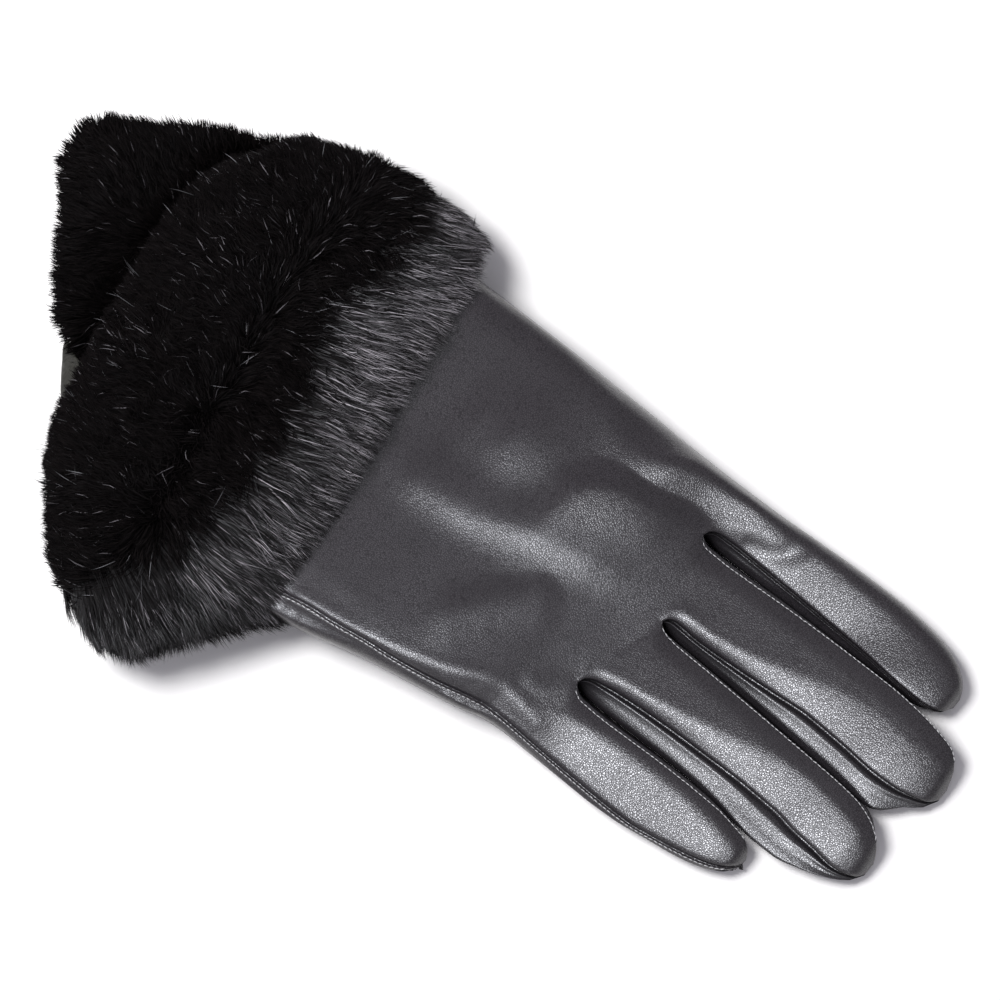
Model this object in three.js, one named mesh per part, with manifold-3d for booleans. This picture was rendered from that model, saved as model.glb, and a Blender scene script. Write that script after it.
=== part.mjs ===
// A right-hand leather dress glove with a flared mink cuff, lying palm down.
// Millimetres. +Y runs from the cuff to the fingertips, +X to the little finger, +Z up.
import * as THREE from 'three';
import { LoftGeometry } from 'three/addons/geometries/LoftGeometry.js';
import { mergeVertices } from 'three/addons/utils/BufferGeometryUtils.js';
import Module from 'manifold-3d';

const wasm = await Module();
wasm.setup();

// Driving dimensions
const leatherWall = 1.8;
const seamGap = 0.3;
const furWall = 5;
const liningWall = 1.1;
const hemLine = { ix: -49.5, iy: -50.5, lx: 68.6, ly: -35 };
const hollowStartY = -56;
const hollowStep = 6;
const knuckleY = 47;
const wristFloor = 6.4;
const thumbHeight = 8.6;
const thumbSeat = thumbHeight + seamGap;
const handClearance = 0.6;
const lipHeight = 0.8;
const fingerCount = 14;
const hollowCount = 10;
const forkTop = 0.73;
const forkBottom = 0.24;
const forkStations = 12;
const forkRetreat = 10;

// The palm, a row for each station: its two sides, and the height of the back at its crown
const palmRows = [
  { y: -50, left: -40.6, right: 62.4, crown: 20.5 },
  { y: -42, left: -40.6, right: 62.0, crown: 21.0 },
  { y: -34, left: -40.9, right: 61.2, crown: 21.4 },
  { y: -27, left: -41.1, right: 60.4, crown: 21.6 },
  { y: -21, left: -41.3, right: 59.4, crown: 21.8 },
  { y: -15, left: -41.5, right: 58.0, crown: 22.0 },
  { y: -8, left: -41.7, right: 56.0, crown: 22.0 },
  { y: -1, left: -41.8, right: 54.2, crown: 21.8 },
  { y: 6, left: -41.9, right: 52.7, crown: 21.4 },
  { y: 13, left: -42.0, right: 51.3, crown: 20.8 },
  { y: 20, left: -42.0, right: 49.9, crown: 19.8 },
  { y: 27, left: -42.0, right: 48.3, crown: 18.4 },
  { y: 33, left: -42.1, right: 46.4, crown: 16.4 },
  { y: 39, left: -42.2, right: 46.0, crown: 14.2 },
  { y: 44, left: -42.4, right: 46.0, crown: 12.0 },
  { y: knuckleY, left: -42.3, right: 45.8, crown: 10.6 },
];

// Each finger: the two lips of its back strip, its side walls at half height, its height
const fingerRows = {
  index: [
    { y: 36, leftWall: -41.6, left: -39.4, right: -28.0, rightWall: -26.4, height: 13.2 },
    { y: 47, leftWall: -42.5, left: -40.3, right: -29.3, rightWall: -27.6, height: 12.0 },
    { y: 57, leftWall: -43.0, left: -40.8, right: -29.5, rightWall: -27.6, height: 11.4 },
    { y: 70, leftWall: -44.0, left: -41.8, right: -29.5, rightWall: -27.7, height: 11.0 },
    { y: 84, leftWall: -45.0, left: -42.8, right: -29.4, rightWall: -27.8, height: 10.7 },
    { y: 98, leftWall: -45.5, left: -43.3, right: -29.2, rightWall: -27.9, height: 10.4 },
    { y: 109, leftWall: -44.9, left: -42.6, right: -28.7, rightWall: -27.7, height: 9.8 },
    { y: 116, leftWall: -43.6, left: -41.4, right: -28.7, rightWall: -27.8, height: 8.8 },
    { y: 121, leftWall: -41.2, left: -39.4, right: -29.3, rightWall: -28.5, height: 7.4 },
    { y: 124, leftWall: -38.4, left: -37.2, right: -30.8, rightWall: -30.2, height: 5.8 },
    { y: 125.2, leftWall: -36.0, left: -35.4, right: -32.6, rightWall: -32.2, height: 4.4 },
  ],
  middle: [
    { y: 36, leftWall: -25.6, left: -26.4, right: -2.0, rightWall: 1.0, height: 14.4 },
    { y: 47, leftWall: -23.4, left: -24.2, right: -2.6, rightWall: 0.6, height: 12.6 },
    { y: 53, leftWall: -23.2, left: -24.0, right: -3.6, rightWall: -1.0, height: 12.0 },
    { y: 62, leftWall: -23.6, left: -24.4, right: -4.2, rightWall: -1.6, height: 11.6 },
    { y: 74, leftWall: -24.5, left: -25.3, right: -5.0, rightWall: -1.5, height: 11.3 },
    { y: 86, leftWall: -25.2, left: -26.0, right: -6.2, rightWall: -1.2, height: 11.0 },
    { y: 98, leftWall: -25.7, left: -26.5, right: -7.4, rightWall: -0.7, height: 10.7 },
    { y: 110, leftWall: -26.0, left: -26.8, right: -7.2, rightWall: -0.2, height: 10.4 },
    { y: 119, leftWall: -25.7, left: -26.4, right: -6.8, rightWall: 0.4, height: 9.8 },
    { y: 126, leftWall: -24.8, left: -25.5, right: -7.2, rightWall: -1.2, height: 8.8 },
    { y: 131.5, leftWall: -23.6, left: -24.2, right: -8.4, rightWall: -5.0, height: 7.6 },
    { y: 135.5, leftWall: -19.9, left: -20.4, right: -9.6, rightWall: -8.0, height: 6.0 },
    { y: 137.5, leftWall: -15.4, left: -15.8, right: -11.4, rightWall: -10.8, height: 4.4 },
  ],
  ring: [
    { y: 36, leftWall: -1.6, left: -2.4, right: 21.0, rightWall: 23.4, height: 13.8 },
    { y: 47, leftWall: -1.0, left: -1.8, right: 20.6, rightWall: 23.4, height: 12.4 },
    { y: 53, leftWall: 0.2, left: -0.6, right: 19.8, rightWall: 23.2, height: 12.0 },
    { y: 60, leftWall: 1.1, left: 0.3, right: 18.9, rightWall: 23.0, height: 11.6 },
    { y: 72, leftWall: 1.1, left: 0.3, right: 17.9, rightWall: 23.0, height: 11.2 },
    { y: 84, leftWall: 1.2, left: 0.4, right: 17.3, rightWall: 23.2, height: 10.9 },
    { y: 95, leftWall: 1.4, left: 0.6, right: 16.9, rightWall: 24.4, height: 10.6 },
    { y: 106, leftWall: 1.6, left: 0.8, right: 17.0, rightWall: 26.4, height: 10.3 },
    { y: 113, leftWall: 1.8, left: 1.0, right: 17.9, rightWall: 26.6, height: 10.0 },
    { y: 120, leftWall: 2.2, left: 1.5, right: 18.3, rightWall: 24.9, height: 9.5 },
    { y: 126, leftWall: 3.7, left: 3.1, right: 18.9, rightWall: 22.8, height: 8.7 },
    { y: 130.6, leftWall: 6.3, left: 5.8, right: 18.3, rightWall: 20.4, height: 7.4 },
    { y: 133.6, leftWall: 9.5, left: 9.1, right: 16.8, rightWall: 17.7, height: 5.8 },
    { y: 135, leftWall: 12.0, left: 11.7, right: 15.0, rightWall: 15.4, height: 4.4 },
  ],
  little: [
    { y: 36, leftWall: 24.4, left: 23.6, right: 43.2, rightWall: 45.6, height: 13.0 },
    { y: 47, leftWall: 28.0, left: 27.1, right: 43.8, rightWall: 46.0, height: 11.8 },
    { y: 55, leftWall: 28.0, left: 27.2, right: 43.9, rightWall: 46.0, height: 11.2 },
    { y: 65, leftWall: 27.6, left: 26.8, right: 44.2, rightWall: 46.0, height: 10.8 },
    { y: 75, leftWall: 27.0, left: 26.3, right: 44.2, rightWall: 45.5, height: 10.5 },
    { y: 85, leftWall: 26.8, left: 26.1, right: 42.9, rightWall: 44.0, height: 10.1 },
    { y: 94, leftWall: 26.9, left: 26.2, right: 41.3, rightWall: 42.5, height: 9.6 },
    { y: 100, leftWall: 27.5, left: 26.9, right: 39.9, rightWall: 41.0, height: 8.8 },
    { y: 104.5, leftWall: 28.3, left: 27.8, right: 37.7, rightWall: 38.8, height: 7.6 },
    { y: 107.4, leftWall: 30.0, left: 29.7, right: 35.3, rightWall: 36.1, height: 6.0 },
    { y: 108.6, leftWall: 32.0, left: 31.8, right: 34.0, rightWall: 34.4, height: 4.4 },
  ],
};

// One turn round a finger: from lip to lip over the back, down the right wall, under, and up.
// along is the share of the back strip's width, wall the share of the way to the side wall.
const fingerTurn = [
  { along: 0.0, wall: 0.0, up: lipHeight },
  { along: 0.16, wall: 0.0, up: 0.95 },
  { along: 0.5, wall: 0.0, up: 1.0 },
  { along: 0.84, wall: 0.0, up: 0.95 },
  { along: 1.0, wall: 0.0, up: lipHeight },
  { along: 1.0, wall: 1.0, up: 0.45 },
  { along: 1.0, wall: 0.5, up: 0.1 },
  { along: 0.86, wall: 0.0, up: 0.0 },
  { along: 0.5, wall: 0.0, up: 0.0 },
  { along: 0.14, wall: 0.0, up: 0.0 },
  { along: 0.0, wall: 0.5, up: 0.1 },
  { along: 0.0, wall: 1.0, up: 0.45 },
];

// Ridges and hollows that the back keeps: from, to, half width, rise
const folds = [
  { x0: -3, y0: 34, x1: 5, y1: 12, width: 6, rise: 1.3 },
  { x0: 5, y0: 12, x1: 14, y1: -14, width: 6, rise: 1.3 },
  { x0: 14, y0: -14, x1: 15, y1: -28, width: 7, rise: 0.7 },
  { x0: -26, y0: 21, x1: -8, y1: 12, width: 6, rise: -1.2 },
  { x0: -38, y0: 62, x1: -32, y1: 34, width: 5, rise: 0.6 },
  { x0: -36, y0: 68, x1: -32, y1: 62, width: 4, rise: -0.8 },
  { x0: 39, y0: 42, x1: 37, y1: 30, width: 3.5, rise: 0.7 },
  { x0: 37, y0: 30, x1: 46, y1: 6, width: 3.5, rise: 0.8 },
  { x0: 46, y0: 6, x1: 53, y1: -22, width: 3.5, rise: 0.8 },
];

// The thumb's pouch under the palm: its middle, half width and height at each station
const thumbRows = [
  { x: -30.0, y: -30, half: 7, height: 6.0 },
  { x: -28.2, y: -23, half: 11.5, height: 8.2 },
  { x: -25.4, y: -13, half: 13.2, height: thumbHeight },
  { x: -22.6, y: -3, half: 13.0, height: thumbHeight },
  { x: -18.4, y: 8, half: 12.0, height: thumbHeight },
  { x: -14.2, y: 18, half: 11.0, height: 8.2 },
  { x: -10.6, y: 25.5, half: 9.6, height: 7.2 },
  { x: -8.4, y: 30, half: 7.4, height: 6.0 },
  { x: -7.2, y: 32.8, half: 4.2, height: 4.6 },
];
const thumbHole = { x: -23.2, y: -4, across: 9, along: 13, rise: 16 };
const thumbHoleLow = thumbHeight - leatherWall - 1.2;

// The fur sleeve: where each station meets the index side and the little side in plan,
// its underside and crown, and how far its middle bows towards the mouth
const furRows = [
  { ix: -43.6, iy: -47, lx: 62.8, ly: -29, floor: 1.6, crown: 26.4, bow: -1 },
  { ix: -50.2, iy: -50, lx: 68.4, ly: -35, floor: 0, crown: 30.0, bow: 0 },
  { ix: -51.0, iy: -60, lx: 79.6, ly: -44, floor: 0, crown: 33.5, bow: 2 },
  { ix: -49.2, iy: -73, lx: 90.4, ly: -53, floor: 0, crown: 35.0, bow: 4 },
  { ix: -45.0, iy: -86, lx: 92.8, ly: -64, floor: 0, crown: 34.5, bow: 8 },
  { ix: -40.4, iy: -96, lx: 88.6, ly: -73.5, floor: 0, crown: 32, bow: 12 },
  { ix: -37.4, iy: -101.5, lx: 82.6, ly: -81, floor: 0, crown: 28, bow: 14 },
];

// The lower layer of fur, which reaches past the upper rim at the mouth
const furTierRows = [
  { ix: -39.5, iy: -90, lx: 60, ly: -88, floor: 0, crown: 4.4, bow: 2 },
  { ix: -37.2, iy: -102, lx: 46, ly: -101, floor: 0, crown: 4.8, bow: 3 },
  { ix: -34.0, iy: -109, lx: 38.6, ly: -109.5, floor: 0, crown: 10.5, bow: 5 },
  { ix: -28.0, iy: -120.4, lx: 36.4, ly: -118, floor: 0, crown: 12.4, bow: 4 },
  { ix: -21.2, iy: -131, lx: 24.4, ly: -128.6, floor: 0, crown: 11.6, bow: 2 },
  { ix: -14.6, iy: -140, lx: 10, ly: -138.4, floor: 0, crown: 8, bow: 3 },
];

// Bands of locks round the sleeve: their station from the wrist (0) to the mouth (1), how far
// the hair stands off there, and how far every second lock runs on, to the mouth if positive
const furBands = [
  { at: -0.14, lift: -2.0, sway: 0 },
  { at: 0.03, lift: 1.0, sway: -8 },
  { at: 0.15, lift: -0.8, sway: 0 },
  { at: 0.19, lift: 2.4, sway: -6 },
  { at: 0.31, lift: -0.8, sway: 0 },
  { at: 0.36, lift: 2.6, sway: -6 },
  { at: 0.47, lift: 0.4, sway: 0 },
  { at: 0.56, lift: 0.4, sway: 0 },
  { at: 0.65, lift: 2.6, sway: 6 },
  { at: 0.7, lift: -0.8, sway: 0 },
  { at: 0.81, lift: 2.6, sway: 6 },
  { at: 0.86, lift: -0.8, sway: 0 },
  { at: 0.96, lift: 2.4, sway: 6 },
  { at: 1.05, lift: -2.0, sway: 0 },
];
const furColumns = 48;
const hollowColumns = 18;
const tierStations = 13;
const tierColumns = 22;
const tierScallop = 1.5;
const tierSway = 5;

// The satin lip that lies over the lower edge of the mouth, beside the lower layer of fur
const lipRows = [
  { y: -88, left: 40, right: 60, floor: 5.5, crown: 6.8 },
  { y: -96, left: 40.6, right: 58, floor: 5.6, crown: 7.2 },
  { y: -103, left: 41.2, right: 53.5, floor: 5.4, crown: 7.6 },
  { y: -107.5, left: 41.4, right: 48.4, floor: 4.4, crown: 7.0 },
  { y: -110, left: 41.8, right: 44.2, floor: 3.6, crown: 5.4 },
];

const materials = {
  leather: new THREE.MeshStandardMaterial({ color: 0x2f2e33, roughness: 0.42, metalness: 0 }),
  fork: new THREE.MeshStandardMaterial({ color: 0x252429, roughness: 0.45, metalness: 0 }),
  fur: new THREE.MeshStandardMaterial({ color: 0x100d0e, roughness: 0.8, metalness: 0 }),
  satin: new THREE.MeshStandardMaterial({ color: 0x5b5a54, roughness: 0.35, metalness: 0 }),
};

function clamp01(value) {
  return THREE.MathUtils.clamp(value, 0, 1);
}

// A row at y between the rows of a table
function rowAt(rows, y) {
  const after = Math.max(1, rows.findIndex((row) => row.y >= y));
  const low = rows[after - 1];
  const high = rows[after];
  const share = clamp01((y - low.y) / (high.y - low.y));
  const mixed = {};
  for (const key of Object.keys(low)) {
    mixed[key] = THREE.MathUtils.lerp(low[key], high[key], share);
  }
  return mixed;
}

function segmentDistance(x, y, { x0, y0, x1, y1 }) {
  const along = ((x - x0) * (x1 - x0) + (y - y0) * (y1 - y0)) / ((x1 - x0) ** 2 + (y1 - y0) ** 2);
  const share = clamp01(along);
  return Math.hypot(x - THREE.MathUtils.lerp(x0, x1, share), y - THREE.MathUtils.lerp(y0, y1, share));
}

// Folds that fall on one line would add up, so the strongest ridge and hollow count
function foldRise(x, y) {
  let ridge = 0;
  let hollow = 0;
  for (const fold of folds) {
    const rise = fold.rise * Math.exp(-((segmentDistance(x, y, fold) / fold.width) ** 2));
    ridge = Math.max(ridge, rise);
    hollow = Math.min(hollow, rise);
  }
  return ridge + hollow;
}

// The underside of the palm: on the thumb's pouch, raised at the wrist, low elsewhere
function palmFloor(x, y) {
  const first = thumbRows[0];
  const last = thumbRows[thumbRows.length - 1];
  const reach = segmentDistance(x, y, { x0: first.x, y0: first.y, x1: last.x, y1: last.y });
  const near = [y - 6, y, y + 6].map((at) => rowAt(thumbRows, THREE.MathUtils.clamp(at, first.y, last.y)));
  const half = Math.max(...near.map((row) => row.half));
  const height = Math.max(...near.map((row) => row.height));
  const cover = 1 - THREE.MathUtils.smoothstep(reach, half + 3, half + 12);
  const atWrist = wristFloor * (1 - THREE.MathUtils.smoothstep(y, -30, 4));
  return Math.max(handClearance, (height + seamGap) * cover, atWrist);
}

// The hollow keeps clear of the highest underside near each of its points
function hollowFloor(x, y) {
  const steps = [-hollowStep, 0, hollowStep];
  return Math.max(...steps.flatMap((dx) => steps.map((dy) => palmFloor(x + dx, y + dy))));
}

// A closed body of position only, which the boolean library can read
function toSolid(geometry) {
  const bare = new THREE.BufferGeometry();
  bare.setAttribute('position', geometry.attributes.position);
  bare.setIndex(geometry.index);
  const merged = mergeVertices(bare, 1e-4);
  const vertProperties = new Float32Array(merged.attributes.position.array);
  const triVerts = new Uint32Array(merged.index.array);
  return new wasm.Manifold(new wasm.Mesh({ numProp: 3, vertProperties, triVerts }));
}

function toMesh(name, solid, material) {
  const { vertProperties, triVerts } = solid.getMesh();
  const geometry = new THREE.BufferGeometry();
  geometry.setAttribute('position', new THREE.BufferAttribute(new Float32Array(vertProperties), 3));
  geometry.setIndex(new THREE.BufferAttribute(new Uint32Array(triVerts), 1));
  geometry.computeVertexNormals();
  const mesh = new THREE.Mesh(geometry, material);
  mesh.name = name;
  return mesh;
}

function loftSolid(sections) {
  return toSolid(new LoftGeometry(sections, { capStart: true, capEnd: true }));
}

function boxSolid(low, high) {
  const size = new THREE.Vector3().subVectors(high, low);
  const geometry = new THREE.BoxGeometry(size.x, size.y, size.z);
  geometry.translate((low.x + high.x) / 2, (low.y + high.y) / 2, (low.z + high.z) / 2);
  return toSolid(geometry);
}

// One section of a finger, smaller by inset all round
function fingerSection(row, inset, count) {
  const left = row.left + inset;
  const right = row.right - inset;
  const floor = inset;
  const height = row.height - inset;
  const corners = fingerTurn.map(({ along, wall, up }) => {
    const lip = THREE.MathUtils.lerp(left, right, along);
    const side = along > 0.5 ? row.rightWall - inset : row.leftWall + inset;
    const x = THREE.MathUtils.lerp(lip, side, wall);
    return new THREE.Vector3(x, row.y, THREE.MathUtils.lerp(floor, height, up));
  });
  const turn = new THREE.CatmullRomCurve3(corners, true, 'centripetal');
  const points = turn.getPoints(count).slice(0, count);
  for (const point of points) {
    const raised = point.z > row.height / 2 ? foldRise(point.x, point.y) : 0;
    point.z = Math.max(floor, point.z + raised);
  }
  return points;
}

function fingerSolid(rows) {
  return loftSolid(rows.map((row) => fingerSection(row, 0, fingerCount)));
}

// The hollow of a finger stops short of the tip and needs fewer stations
function fingerHollow(rows) {
  const last = rows.length - 2;
  const kept = rows.slice(0, -1).filter((row, place) => place < 2 || (last - place) % 2 === 0);
  return loftSolid(kept.map((row) => fingerSection(row, leatherWall, hollowCount)));
}

function signedPower(value, power) {
  return Math.sign(value) * Math.abs(value) ** power;
}

// One section of the palm: a rounded loop between its two sides, back above, palm below
function palmSection(row, inset, backCount, palmCount) {
  const middle = (row.left + row.right) / 2;
  const half = (row.right - row.left) / 2 - inset;
  const angles = [];
  for (let i = 0; i < backCount; i += 1) angles.push((Math.PI * i) / backCount);
  for (let i = 0; i < palmCount; i += 1) angles.push(Math.PI * (1 + i / palmCount));
  return angles.map((angle) => {
    const x = middle - half * signedPower(Math.cos(angle), 0.8);
    const across = Math.abs(x - middle) / (half + inset);
    const under = palmFloor(x, row.y);
    const floor = inset > 0 ? hollowFloor(x, row.y) : under;
    const edge = under + (row.crown - under) * 0.45;
    const top = edge + (row.crown - edge) * (1 - across ** 4 * 0.35) + foldRise(x, row.y) - inset;
    const reach = Math.abs(Math.sin(angle)) ** 0.6;
    const z = angle <= Math.PI ? edge + (top - edge) * reach : edge + (floor + inset - edge) * reach;
    return new THREE.Vector3(x, row.y, z);
  });
}

function palmSolid() {
  return loftSolid(palmRows.map((row) => palmSection(row, 0, 22, 10)));
}

// The hollow of the palm runs out past the hem, so that the wrist is open
function palmHollow() {
  const inner = palmRows.filter((row, place) => place % 2 === 1).map((row) => ({ ...row }));
  inner[0].y = hollowStartY;
  inner[inner.length - 1].y = knuckleY - leatherWall;
  return loftSolid(inner.map((row) => palmSection(row, leatherWall, 14, 8)));
}

// The volume that a forked side strip takes from the side walls of two fingers. Its leg on
// the right finger ends short of that finger's tip, and its leg on the left one runs to tipY.
function forkVolume(leftRows, rightRows, tipY, grow) {
  const startY = knuckleY - leatherWall - 0.2;
  const rightTip = rightRows[rightRows.length - 1].y;
  const sections = [];
  for (let i = 0; i <= forkStations; i += 1) {
    const y = THREE.MathUtils.lerp(startY, tipY, i / forkStations);
    const before = rowAt(leftRows, y);
    const after = rowAt(rightRows, Math.min(y, rightTip));
    const past = THREE.MathUtils.smoothstep(y, rightTip - forkRetreat, rightTip - forkRetreat / 2);
    const lower = Math.min(before.height, after.height);
    const height = THREE.MathUtils.lerp(lower, before.height, past);
    const taper = 1 - 0.7 * THREE.MathUtils.smoothstep(y, tipY - 26, tipY);
    const middle = (forkTop + forkBottom) / 2;
    const low = height * (middle + (forkBottom - middle) * taper) - grow;
    const high = height * (middle + (forkTop - middle) * taper) + grow;
    const reach = leatherWall * 1.6;
    const x0 = Math.min(before.rightWall, before.right) - reach - grow;
    const x1 = Math.max(after.leftWall, after.left) + THREE.MathUtils.lerp(reach, -1.2, past) + grow;
    const placeY = i === forkStations ? y + grow : y;
    sections.push([
      new THREE.Vector3(x0, placeY, low),
      new THREE.Vector3(x0, placeY, high),
      new THREE.Vector3(x1, placeY, high),
      new THREE.Vector3(x1, placeY, low),
    ]);
  }
  return loftSolid(sections);
}

function thumbSection({ x, y, half, height }, inset, count) {
  const first = thumbRows[0];
  const last = thumbRows[thumbRows.length - 1];
  const run = new THREE.Vector2(last.x - first.x, last.y - first.y).normalize();
  const points = [];
  for (let i = 0; i < count; i += 1) {
    const angle = (2 * Math.PI * i) / count;
    const across = -(half - inset) * signedPower(Math.cos(angle), 0.75);
    const up = signedPower(Math.sin(angle), 0.55);
    const z = height / 2 + (height / 2 - inset) * up;
    points.push(new THREE.Vector3(x + across * run.y, y - across * run.x, z));
  }
  return points;
}

function thumbHoleSolid() {
  const geometry = new THREE.CylinderGeometry(1, 1, thumbHole.rise, 16);
  geometry.rotateX(Math.PI / 2);
  geometry.scale(thumbHole.across, thumbHole.along, 1);
  geometry.rotateZ(-0.42);
  geometry.translate(thumbHole.x, thumbHole.y, thumbHoleLow + thumbHole.rise / 2);
  return toSolid(geometry);
}

function thumbHoleInPalm() {
  const low = new THREE.Vector3(-60, -60, thumbSeat + leatherWall + 2);
  const high = new THREE.Vector3(60, 60, 60);
  return thumbHoleSolid().subtract(boxSolid(low, high));
}

// A station of the cuff. Its line in plan runs from the index side to the little side.
function cuffFrame(row) {
  const index = new THREE.Vector2(row.ix, row.iy);
  const little = new THREE.Vector2(row.lx, row.ly);
  const span = new THREE.Vector2().subVectors(little, index);
  const half = span.length() / 2;
  const across = span.normalize();
  const out = new THREE.Vector2(across.y, -across.x);
  const middle = index.add(little).multiplyScalar(0.5);
  return { middle, across, out, half };
}

function cuffPoint(row, angle, inset) {
  const { middle, across, out, half } = cuffFrame(row);
  const side = -signedPower(Math.cos(angle), 0.85);
  const up = signedPower(Math.sin(angle), 0.7);
  const reach = side * (half - inset);
  const bow = row.bow * (1 - side ** 4);
  const edge = row.floor + (row.crown - row.floor) * 0.42;
  const z = up > 0 ? edge + (row.crown - inset - edge) * up : edge + (edge - row.floor - inset) * up;
  const x = middle.x + across.x * reach + out.x * bow;
  const y = middle.y + across.y * reach + out.y * bow;
  return new THREE.Vector3(x, y, z);
}

function cuffSection(row, inset, count) {
  const points = [];
  for (let i = 0; i < count; i += 1) points.push(cuffPoint(row, (2 * Math.PI * i) / count, inset));
  return points.reverse();
}

function rowAlong(rows, share) {
  const place = share * (rows.length - 1);
  const before = THREE.MathUtils.clamp(Math.floor(place), 0, rows.length - 2);
  const mixed = {};
  for (const key of Object.keys(rows[before])) {
    mixed[key] = THREE.MathUtils.lerp(rows[before][key], rows[before + 1][key], place - before);
  }
  return mixed;
}

// The sleeve of fur: bands of pointed locks that overlap like shingles, flat underneath
function furSleeve() {
  const sections = furBands.map((band, place) => {
    const row = rowAlong(furRows, band.at);
    const { out } = cuffFrame(row);
    const points = [];
    for (let i = 0; i < furColumns; i += 1) {
      const angle = (2 * Math.PI * i) / furColumns;
      const showing = THREE.MathUtils.smoothstep(Math.sin(angle), -0.35, 0.1);
      const tip = (i + Math.floor(place / 2)) % 2;
      const lift = band.lift > 0 ? band.lift * showing * (0.45 + 0.55 * tip) : band.lift * showing;
      const point = cuffPoint(row, angle, -lift);
      point.x += out.x * band.sway * tip * showing;
      point.y += out.y * band.sway * tip * showing;
      points.push(point);
    }
    return points.reverse();
  });
  return loftSolid(sections);
}

// The lower layer at the mouth, with a scalloped edge of locks
function furTier() {
  const sections = [];
  for (let station = 0; station < tierStations; station += 1) {
    const row = rowAlong(furTierRows, station / (tierStations - 1));
    const { out } = cuffFrame(row);
    const scallop = station % 2 === 0 ? 0 : tierScallop;
    const points = cuffSection(row, -scallop, tierColumns);
    const last = station === tierStations - 1;
    points.forEach((point, i) => {
      const sway = last && i % 2 === 0 ? -tierSway : 0;
      point.x += out.x * sway;
      point.y += out.y * sway;
    });
    sections.push(points);
  }
  return loftSolid(sections);
}

// The hollow of the cuff takes in the wrist of the hand and comes out at the mouth
function cuffHollow(inset) {
  const first = furRows[0];
  const last = furRows[furRows.length - 1];
  const before = { ...first, iy: first.iy + 14, ly: first.ly + 14 };
  const beyond = { ...last, iy: last.iy - 40, ly: last.ly - 40, ix: last.ix - 6, lx: last.lx + 6 };
  beyond.crown = last.crown + 24;
  beyond.floor = last.floor + 16;
  return loftSolid([before, ...furRows, beyond].map((row) => cuffSection(row, inset, hollowColumns)));
}

// Everything on one side of the hem line: the hand's side or the mouth's side
function beyondHem(onHandSide, gap) {
  const { middle, across, out } = cuffFrame(hemLine);
  const reach = 120;
  const depth = onHandSide ? -reach / 2 + gap : reach / 2 + gap;
  const geometry = new THREE.BoxGeometry(2 * reach, reach, reach);
  geometry.rotateZ(Math.atan2(across.y, across.x));
  geometry.translate(middle.x + out.x * depth, middle.y + out.y * depth, 0);
  return toSolid(geometry);
}

function buildFurCuff(wrist) {
  const ground = boxSolid(new THREE.Vector3(-150, -250, -60), new THREE.Vector3(150, 250, 0));
  const fur = furSleeve().add(furTier()).subtract(cuffHollow(furWall)).subtract(ground);
  return fur.subtract(wrist).subtract(lipSolid(seamGap));
}

// The satin lip, grown by the gap that the fur keeps from it
function lipSolid(grow) {
  const sections = lipRows.map(({ y, left, right, floor, crown }, place) => {
    const placeY = place === lipRows.length - 1 ? y - grow : y;
    return [
      new THREE.Vector3(left - grow, placeY, floor - grow),
      new THREE.Vector3(right + grow, placeY, floor - grow),
      new THREE.Vector3(right + grow, placeY, crown + grow),
      new THREE.Vector3(left - grow, placeY, crown + grow),
    ];
  });
  return loftSolid(sections);
}

// The lining: a thin sleeve inside the fur, from the hem to the mouth
function buildLining() {
  const first = furRows[0];
  const last = furRows[furRows.length - 1];
  const before = { ...first, iy: first.iy + 10, ly: first.ly + 10 };
  const beyond = { ...last, iy: last.iy - 20, ly: last.ly - 20 };
  const outset = furWall + seamGap;
  const inset = outset + liningWall;
  const outer = loftSolid(furRows.map((row) => cuffSection(row, outset, hollowColumns)));
  const innerRows = [before, ...furRows, beyond];
  const inner = loftSolid(innerRows.map((row) => cuffSection(row, inset, hollowColumns)));
  return outer.subtract(inner).add(lipSolid(0)).subtract(beyondHem(true, seamGap));
}

// The thumb's pouch, open into the palm through a hole that both walls share
function buildThumb() {
  const outer = loftSolid(thumbRows.map((row) => thumbSection(row, 0, 14)));
  const kept = thumbRows.slice(1, -1);
  const inner = loftSolid(kept.map((row) => thumbSection(row, leatherWall, 12)));
  return outer.subtract(inner).subtract(thumbHoleSolid());
}

// The wrist, grown by the seam gap, which the fur is cut back to
function wristSolid() {
  const rows = palmRows.filter((row) => row.y < 0).map((row) => ({ ...row }));
  rows[0].y = hollowStartY;
  return loftSolid(rows.map((row) => palmSection(row, -seamGap, 24, 12)));
}

const fingers = Object.values(fingerRows);
const hand = fingers.reduce((body, rows) => body.add(fingerSolid(rows)), palmSolid());
const handHollow = fingers.reduce((body, rows) => body.add(fingerHollow(rows)), palmHollow());
const walls = hand.subtract(handHollow);

const forks = [
  { name: 'fourchette_index_middle', left: 'index', right: 'middle', tipY: 120 },
  { name: 'fourchette_middle_ring', left: 'middle', right: 'ring', tipY: 131 },
  { name: 'fourchette_ring_little', left: 'ring', right: 'little', tipY: 128 },
];

const glove = new THREE.Group();
let trank = walls.subtract(thumbHoleInPalm()).subtract(beyondHem(false, 0));
for (const fork of forks) {
  const leftRows = fingerRows[fork.left];
  const rightRows = fingerRows[fork.right];
  const strip = walls.intersect(forkVolume(leftRows, rightRows, fork.tipY, 0));
  trank = trank.subtract(forkVolume(leftRows, rightRows, fork.tipY, seamGap));
  glove.add(toMesh(fork.name, strip, materials.fork));
}
glove.add(toMesh('hand_leather', trank, materials.leather));
glove.add(toMesh('thumb', buildThumb(), materials.leather));
glove.add(toMesh('fur_cuff', buildFurCuff(wristSolid()), materials.fur));
glove.add(toMesh('cuff_lining', buildLining(), materials.satin));

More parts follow.
